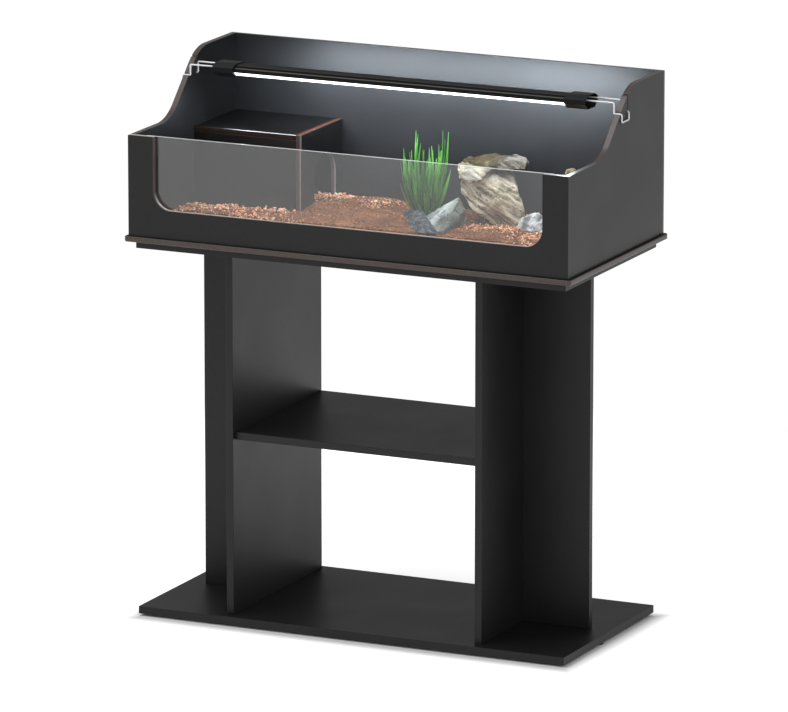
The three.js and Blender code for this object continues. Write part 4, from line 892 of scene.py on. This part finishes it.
# -------------------------------- plant
# Tips of the blades that stand out, as (X, height over the foot of the plant), in millimetres.
TALL_TIPS_MM = [(-39, 137), (-9, 178), (-3, 171), (3, 152), (7, 137), (24, 147), (30, 124), (50, 182),
                (64, 180), (72, 102), (-34, 110), (42, 152), (57, 165), (-21, 134), (16, 118)]
TALL_DEPTH = 0.2            # how far these spread from front to back, as a share of a full row
# Rows of blades between them: how many, reach to either side, lowest and highest, drop at the sides, depth.
BLADE_ROWS = [(56, 0.05, 0.09, 0.145, 0.15, 1.0), (24, 0.045, 0.05, 0.09, 0.0, 1.2)]
ROW_DEPTH = 0.03
BLADE_WIDTH_MM = 9.2
BLADE_BULGE = 0.045         # how far a blade bows outwards, as a share of its length
BLADE_FOLD = 0.28           # the depth of its V, as a share of half its width
BLADE_THICKNESS = 0.0004
BLADE_TIP_HALF = 0.0002
BLADE_STEPS = 14
BLADE_SIDES = 8
PLANT_FOOT_X = 0.012


def blade(rng, foot, tip, width):
    """A leaf like a blade of grass: a shallow V in section, bowed outwards, drawn to a point."""
    vertices = []
    outwards = Vector((tip.x - foot.x, tip.y - foot.y, 0))
    outwards = outwards.normalized() if outwards.length > 1e-4 else Vector((1, 0, 0))
    turn = rng.uniform(-0.9, 0.9)
    across = Vector((math.cos(turn), math.sin(turn), 0))
    face_out = across.cross(Vector((0, 0, 1)))
    bow = BLADE_BULGE * (tip - foot).length
    for i in range(BLADE_STEPS + 1):
        t = i / BLADE_STEPS
        middle = foot.lerp(tip, t) + outwards * bow * math.sin(math.pi * t)
        half = 0.5 * width * min(1.0, 0.5 + 2.4 * t) * (1 - t ** 2.6) + BLADE_TIP_HALF
        fold = BLADE_FOLD * half
        slope = fold * 0.35
        for u, v in ((-1, fold), (-0.5, slope), (0, 0), (0.5, slope), (1, fold),
                     (0.5, slope + BLADE_THICKNESS), (0, BLADE_THICKNESS), (-0.5, slope + BLADE_THICKNESS)):
            vertices.append(middle + across * u * half + face_out * v)
    return vertices, tube_faces(BLADE_STEPS + 1, BLADE_SIDES)


def make_plant(material):
    """A tuft of blades that fan out from a narrow foot."""
    rng = random.Random(SEED + 1)
    low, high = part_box("grass_plant")
    middle_y, foot_z = (low.y + high.y) / 2, low.z + 0.001
    vertices, faces = [], []
    plans = [(x * MM, z * MM, TALL_DEPTH) for x, z in TALL_TIPS_MM]
    for count, reach, lowest, highest, drop, depth in BLADE_ROWS:
        for i in range(count):
            share = 2 * (i + rng.random()) / count - 1
            height = rng.uniform(lowest, highest) * (1 - drop * share ** 2)
            plans.append((PLANT_FOOT_X + reach * share, height, depth))
    for tip_x, height, depth in plans:
        lean = (tip_x - PLANT_FOOT_X) / 0.07
        foot_x = PLANT_FOOT_X + 0.03 * lean + rng.uniform(-0.005, 0.005)
        foot = Vector((foot_x, middle_y + rng.uniform(-0.01, 0.01), foot_z))
        tip_y = middle_y + depth * rng.uniform(-ROW_DEPTH, ROW_DEPTH)
        tip = Vector((tip_x, tip_y, foot_z + height))
        points, quads = blade(rng, foot, tip, BLADE_WIDTH_MM * MM * rng.uniform(0.75, 1.2))
        first = len(vertices)
        vertices.extend(points)
        faces.extend([[v + first for v in f] for f in quads])
    plant = make_object("grass_blades", vertices, faces, [material], "table", smooth=True)
    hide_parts("grass_plant")


def leaf_paint():
    paint = Paint("leaf", roughness=0.42, specular=0.4)
    low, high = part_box("grass_plant")
    along = paint.span(paint.at("Z"), low.z, high.z)
    island = paint.node("NewGeometry").outputs["Random Per Island"]
    veins = paint.noise(900, detail=1, stretch=(1, 1, 0.02))
    colour = paint.tone(along, [(0.0, "#2a451e"), (0.3, "#448c2b"), (1.0, "#389c2a")])
    colour = paint.blend(paint.span(island, 0.4, 1, 0, 0.65), colour, srgb("#7dbb58"))
    colour = paint.blend(paint.span(island, 0.0, 0.4, 0.7, 0), colour, srgb("#1b4217"))
    colour = paint.blend(paint.span(veins, 0.5, 0.62, 0, 0.35), colour, srgb("#a3cc86"))
    paint.put("Base Color", colour)
    paint.bump(veins, 0.2)
    return paint.material


# -------------------------------- other finishes
# Painted highlights in lines along the lamp's section: height over its foot, half width, shade.
BAR_HIGHLIGHTS_MM = [(6.5, 1.1, "#5a5955"), (1.8, 0.8, "#34332f"), (11.4, 0.7, "#42413f")]
DIFFUSER_LIP_MM = 2.6


def glass_paint():
    """Clear glass, whose reflection is painted a little weaker towards the right through its tint."""
    paint = Paint("glass", roughness=0.0, specular=0.5)
    paint.put("Base Color", (0.972, 0.976, 0.976, 1))
    paint.put("Transmission Weight", 1.0)
    paint.put("IOR", GLASS_IOR)
    # A painted reflection: the tint weakens it towards the right.
    wobble = paint.span(paint.noise(3.0), 0.3, 0.7, -0.1, 0.1)
    dimmed_reflection = paint.span(paint.maths("ADD", paint.maths("MULTIPLY", paint.at("X"), 2), wobble), -0.4, 0.4)
    paint.put("Specular Tint", paint.blend(dimmed_reflection, (1, 1, 1, 1), srgb("#e6e8ea")))
    return paint.material


def ground_edge_paint():
    paint = Paint("ground_glass_edge", roughness=0.3, specular=0.6)
    grain = paint.noise(700, detail=2)
    paint.put("Base Color", paint.blend(grain, srgb("#cfd6d8"), srgb("#f2f5f6")))
    paint.bump(grain, 0.03)
    return paint.material


def metal_paint(name, colour, shade, roughness, grain_mm=0.01):
    paint = Paint(name, roughness=roughness, metallic=1.0)
    grain = paint.noise(800, detail=2)
    paint.put("Base Color", paint.blend(grain, srgb(shade), srgb(colour)))
    paint.put("Roughness", paint.span(grain, 0.3, 0.7, roughness * 0.8, roughness * 1.25))
    paint.bump(grain, grain_mm)
    return paint


def plastic_paint(name, colour, shade, roughness, specular=0.4):
    paint = Paint(name, specular=specular)
    texture = paint.noise(700, detail=3)
    blotch = paint.noise(12, detail=3)
    paint.put("Base Color", paint.blend(paint.span(blotch, 0.3, 0.7), srgb(shade), srgb(colour)))
    paint.put("Roughness", paint.span(texture, 0.3, 0.7, roughness - 0.05, roughness + 0.05))
    paint.bump(texture, 0.02)
    return paint


def bar_paint():
    """Black anodised section with a drawn grain and painted highlights in lines along its flanks and
    shoulders.
    """
    paint = Paint("anodised", roughness=0.4, specular=0.03)
    grain = paint.noise(800, detail=2, stretch=(0.02, 1, 1))
    height = paint.height_over(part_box("lamp_bar")[0].z)
    colour = paint.blend(grain, srgb("#0e0e0f"), srgb("#1b1b1c"))
    # Painted highlight lines.
    for middle_mm, half_mm, shade in BAR_HIGHLIGHTS_MM:
        off = paint.maths("ABSOLUTE", paint.maths("SUBTRACT", height, middle_mm * MM))
        colour = paint.blend(paint.span(off, half_mm * MM, 0.6 * half_mm * MM), colour, srgb(shade))
    paint.put("Base Color", colour)
    paint.bump(grain, 0.01)
    return paint


def cap_paint():
    """Moulded black plastic, with a painted highlight along the arrises."""
    paint = Paint("cap", specular=0.12)
    texture = paint.noise(900, detail=3)
    slope = paint.maths("MULTIPLY", paint.faces_either_way("Z"), paint.faces_either_way("Y"))
    colour = paint.blend(paint.noise(12), srgb("#141516"), srgb("#1d1e20"))
    # A painted highlight on the facets between the top and the sides.
    colour = paint.blend(paint.span(slope, 0.2, 0.4, 0, 0.5), colour, srgb("#3b3c3d"))
    paint.put("Base Color", colour)
    paint.put("Roughness", paint.span(texture, 0.3, 0.7, 0.32, 0.42))
    paint.bump(texture, 0.02)
    return paint


def diffuser_paint():
    """The milky cover over the strip: it glows, apart from the dark lip that the section laps over it."""
    paint = Paint("diffuser", roughness=0.35, specular=0.4)
    dots = paint.noise(60, detail=1, stretch=(1, 0.1, 0.1))
    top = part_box("lamp_diffuser")[1].z
    edge = -(DIFFUSER_LIP_MM + 0.3) * MM
    lit = paint.span(paint.height_over(top), edge, -DIFFUSER_LIP_MM * MM, 1, 0)
    paint.put("Base Color", paint.blend(lit, srgb("#141415"), srgb("#f7faff")))
    paint.put("Emission Color", srgb("#f1f7ff"))
    glow = paint.span(dots, 0.3, 0.7, 3.2, 3.8)
    paint.put("Emission Strength", paint.maths("MULTIPLY", lit, glow))
    return paint


def soil_paint():
    paint = Paint("soil", roughness=0.95, specular=0.1)
    broad = paint.noise(14, detail=4, roughness=0.6)
    grain = paint.noise(170, detail=5, roughness=0.75)
    streaks = paint.noise(75, detail=4, roughness=0.65, stretch=(0.3, 1, 1), distortion=0.8)
    crumbs = paint.cells(300)
    chippy = paint.node("Attribute", attribute_name="chippy").outputs["Fac"]
    colour = paint.tone(broad, [(0.35, "#80502f"), (0.5, "#95603d"), (0.68, "#ad7850")])
    colour = paint.blend(paint.span(streaks, 0.48, 0.6, 0, 0.7), colour, srgb("#55311d"))
    colour = paint.blend(paint.span(grain, 0.48, 0.6, 0, 0.85), colour, srgb("#432616"))
    colour = paint.blend(paint.span(crumbs, 0.0, 0.3, 0.6, 0), colour, srgb("#d09a6e"))
    # Darker soil where chips lie: painted shade for the gaps between the chips.
    colour = paint.blend(paint.span(chippy, 0.25, 0.7, 0, 0.8), colour, srgb("#5c3824"))
    paint.put("Base Color", colour)
    paint.bump(paint.maths("SUBTRACT", grain, crumbs), 2.4)
    return paint.material


def chip_paint(name, tones):
    paint = Paint(name, roughness=0.85, specular=0.2)
    island = paint.node("NewGeometry").outputs["Random Per Island"]
    fibres = paint.noise(620, detail=3, roughness=0.65, stretch=(1, 0.3, 1))
    colour = paint.tone(island, tones)
    colour = paint.blend(paint.span(fibres, 0.45, 0.72, 0, 0.45), colour, srgb("#86492c"))
    paint.put("Base Color", colour)
    paint.bump(fibres, 0.5)
    return paint.material


# -------------------------------- the whole
STAND_BOARDS = ["stand_base_plate", "stand_top_board", "left_upright", "right_upright", "left_wing_panel",
                "right_wing_panel", "shelf"]


def dress_frame():
    """Finishes for the CAD nodes that stay as they are."""
    dress(STAND_BOARDS, laminate_paint("stand_laminate"), BOARD_EASE_MM)
    side = laminate_paint("side_laminate", "X", specular=0.31)
    dress(["left_side_panel", "right_side_panel"], side, BOARD_EASE_MM)
    hide_edges = (HIDE_EDGE, HIDE_FIBRE)
    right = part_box("hide_side_panel")[1].x
    # A painted highlight line along the forward edges, near the panel's right face.
    line = (HIDE_FRONT_HIGHLIGHT, *(right - off * MM for off in HIDE_FRONT_HIGHLIGHT_MM))
    hide_side = laminate_paint("hide_side_laminate", "X", *hide_edges, front_shade=HIDE_FRONT_EDGE_SHADE,
                               front_highlight=line)
    dress(["hide_side_panel"], hide_side, BOARD_EASE_MM)
    dress(["back_panel"], laminate_paint("back_laminate", "Y"), BOARD_EASE_MM)
    hide_front = laminate_paint("hide_front_laminate", "Y", *hide_edges)
    dress(["hide_front_panel"], hide_front, BOARD_EASE_MM)
    low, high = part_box("front_panel")
    # A painted highlight on the front panel's upper cut edges, towards the rear.
    line = (CUT_EDGE_HIGHLIGHT, *(low.y + share * (high.y - low.y) for share in CUT_EDGE_HIGHLIGHT_SPAN))
    front = laminate_paint("front_laminate", "Y", CUT_EDGE, CUT_FIBRE, line, closed_beyond=high.x - MM)
    dress(["front_panel"], front, BOARD_EASE_MM)
    dress(["table_base_board"], laminate_paint("base_laminate", "Z"), BOARD_EASE_MM)
    dress(["hide_lid"], lid_paint(), LID_EASE_MM)
    dress(["hide_side_batten", "hide_rear_batten"], laminate_paint("batten", "Z"), 0.6)
    dress([n for n in nodes if "screw" in n], metal_paint("zinc", "#c5c8cc", "#9a9da2", 0.35), 0)
    dress([n for n in nodes if "dowel" in n], plastic_paint("beech", "#c9a26e", "#b98f5c", 0.7, 0.2), 0)
    glides = [n for n in nodes if n.endswith("_glide")]
    dress(glides, plastic_paint("glide", "#2c2c2c", "#242424", 0.6), 0.4)
    dress(["lamp_bar"], bar_paint(), 0.2)
    dress(["left_end_cap", "right_end_cap"], cap_paint(), 0.8)
    dress(["lamp_diffuser"], diffuser_paint(), 0.3)
    dress(["led_strip"], plastic_paint("led_board", "#f2f2ee", "#e6e6e0", 0.5), 0)


def make_brackets():
    chrome = metal_paint("chrome", "#ffffff", "#f2f4f6", 0.25, grain_mm=0.002)
    chrome.put("Metallic", 0.2)
    make_wire("left", -1, chrome.material)
    make_wire("right", 1, chrome.material)


def make_substrate():
    surface = make_bed(soil_paint())
    bark = chip_paint("bark", BARK_TONES)
    scatter("bark_chips", surface, bark, SEED, CHIP_COUNT, lambda zone: zone ** 1.5,
            CHIP_SMALLEST_MM, CHIP_LARGEST_MM, CHIP_HEAP_MM)
    grit = chip_paint("grit", GRIT_TONES)
    scatter("grit", surface, grit, SEED + 2, GRIT_COUNT, lambda zone: 1 - 0.9 * zone,
            GRIT_SMALLEST_MM, GRIT_LARGEST_MM, 0.0)


def main():
    make_camera()
    make_world()
    make_floor()
    make_lamps()
    make_led_light()
    dress_frame()
    make_brackets()
    make_pane(glass_paint(), ground_edge_paint())
    make_substrate()
    make_stones()
    make_plant(leaf_paint())


main()
bpy.context.scene.view_settings.view_transform = "Standard"
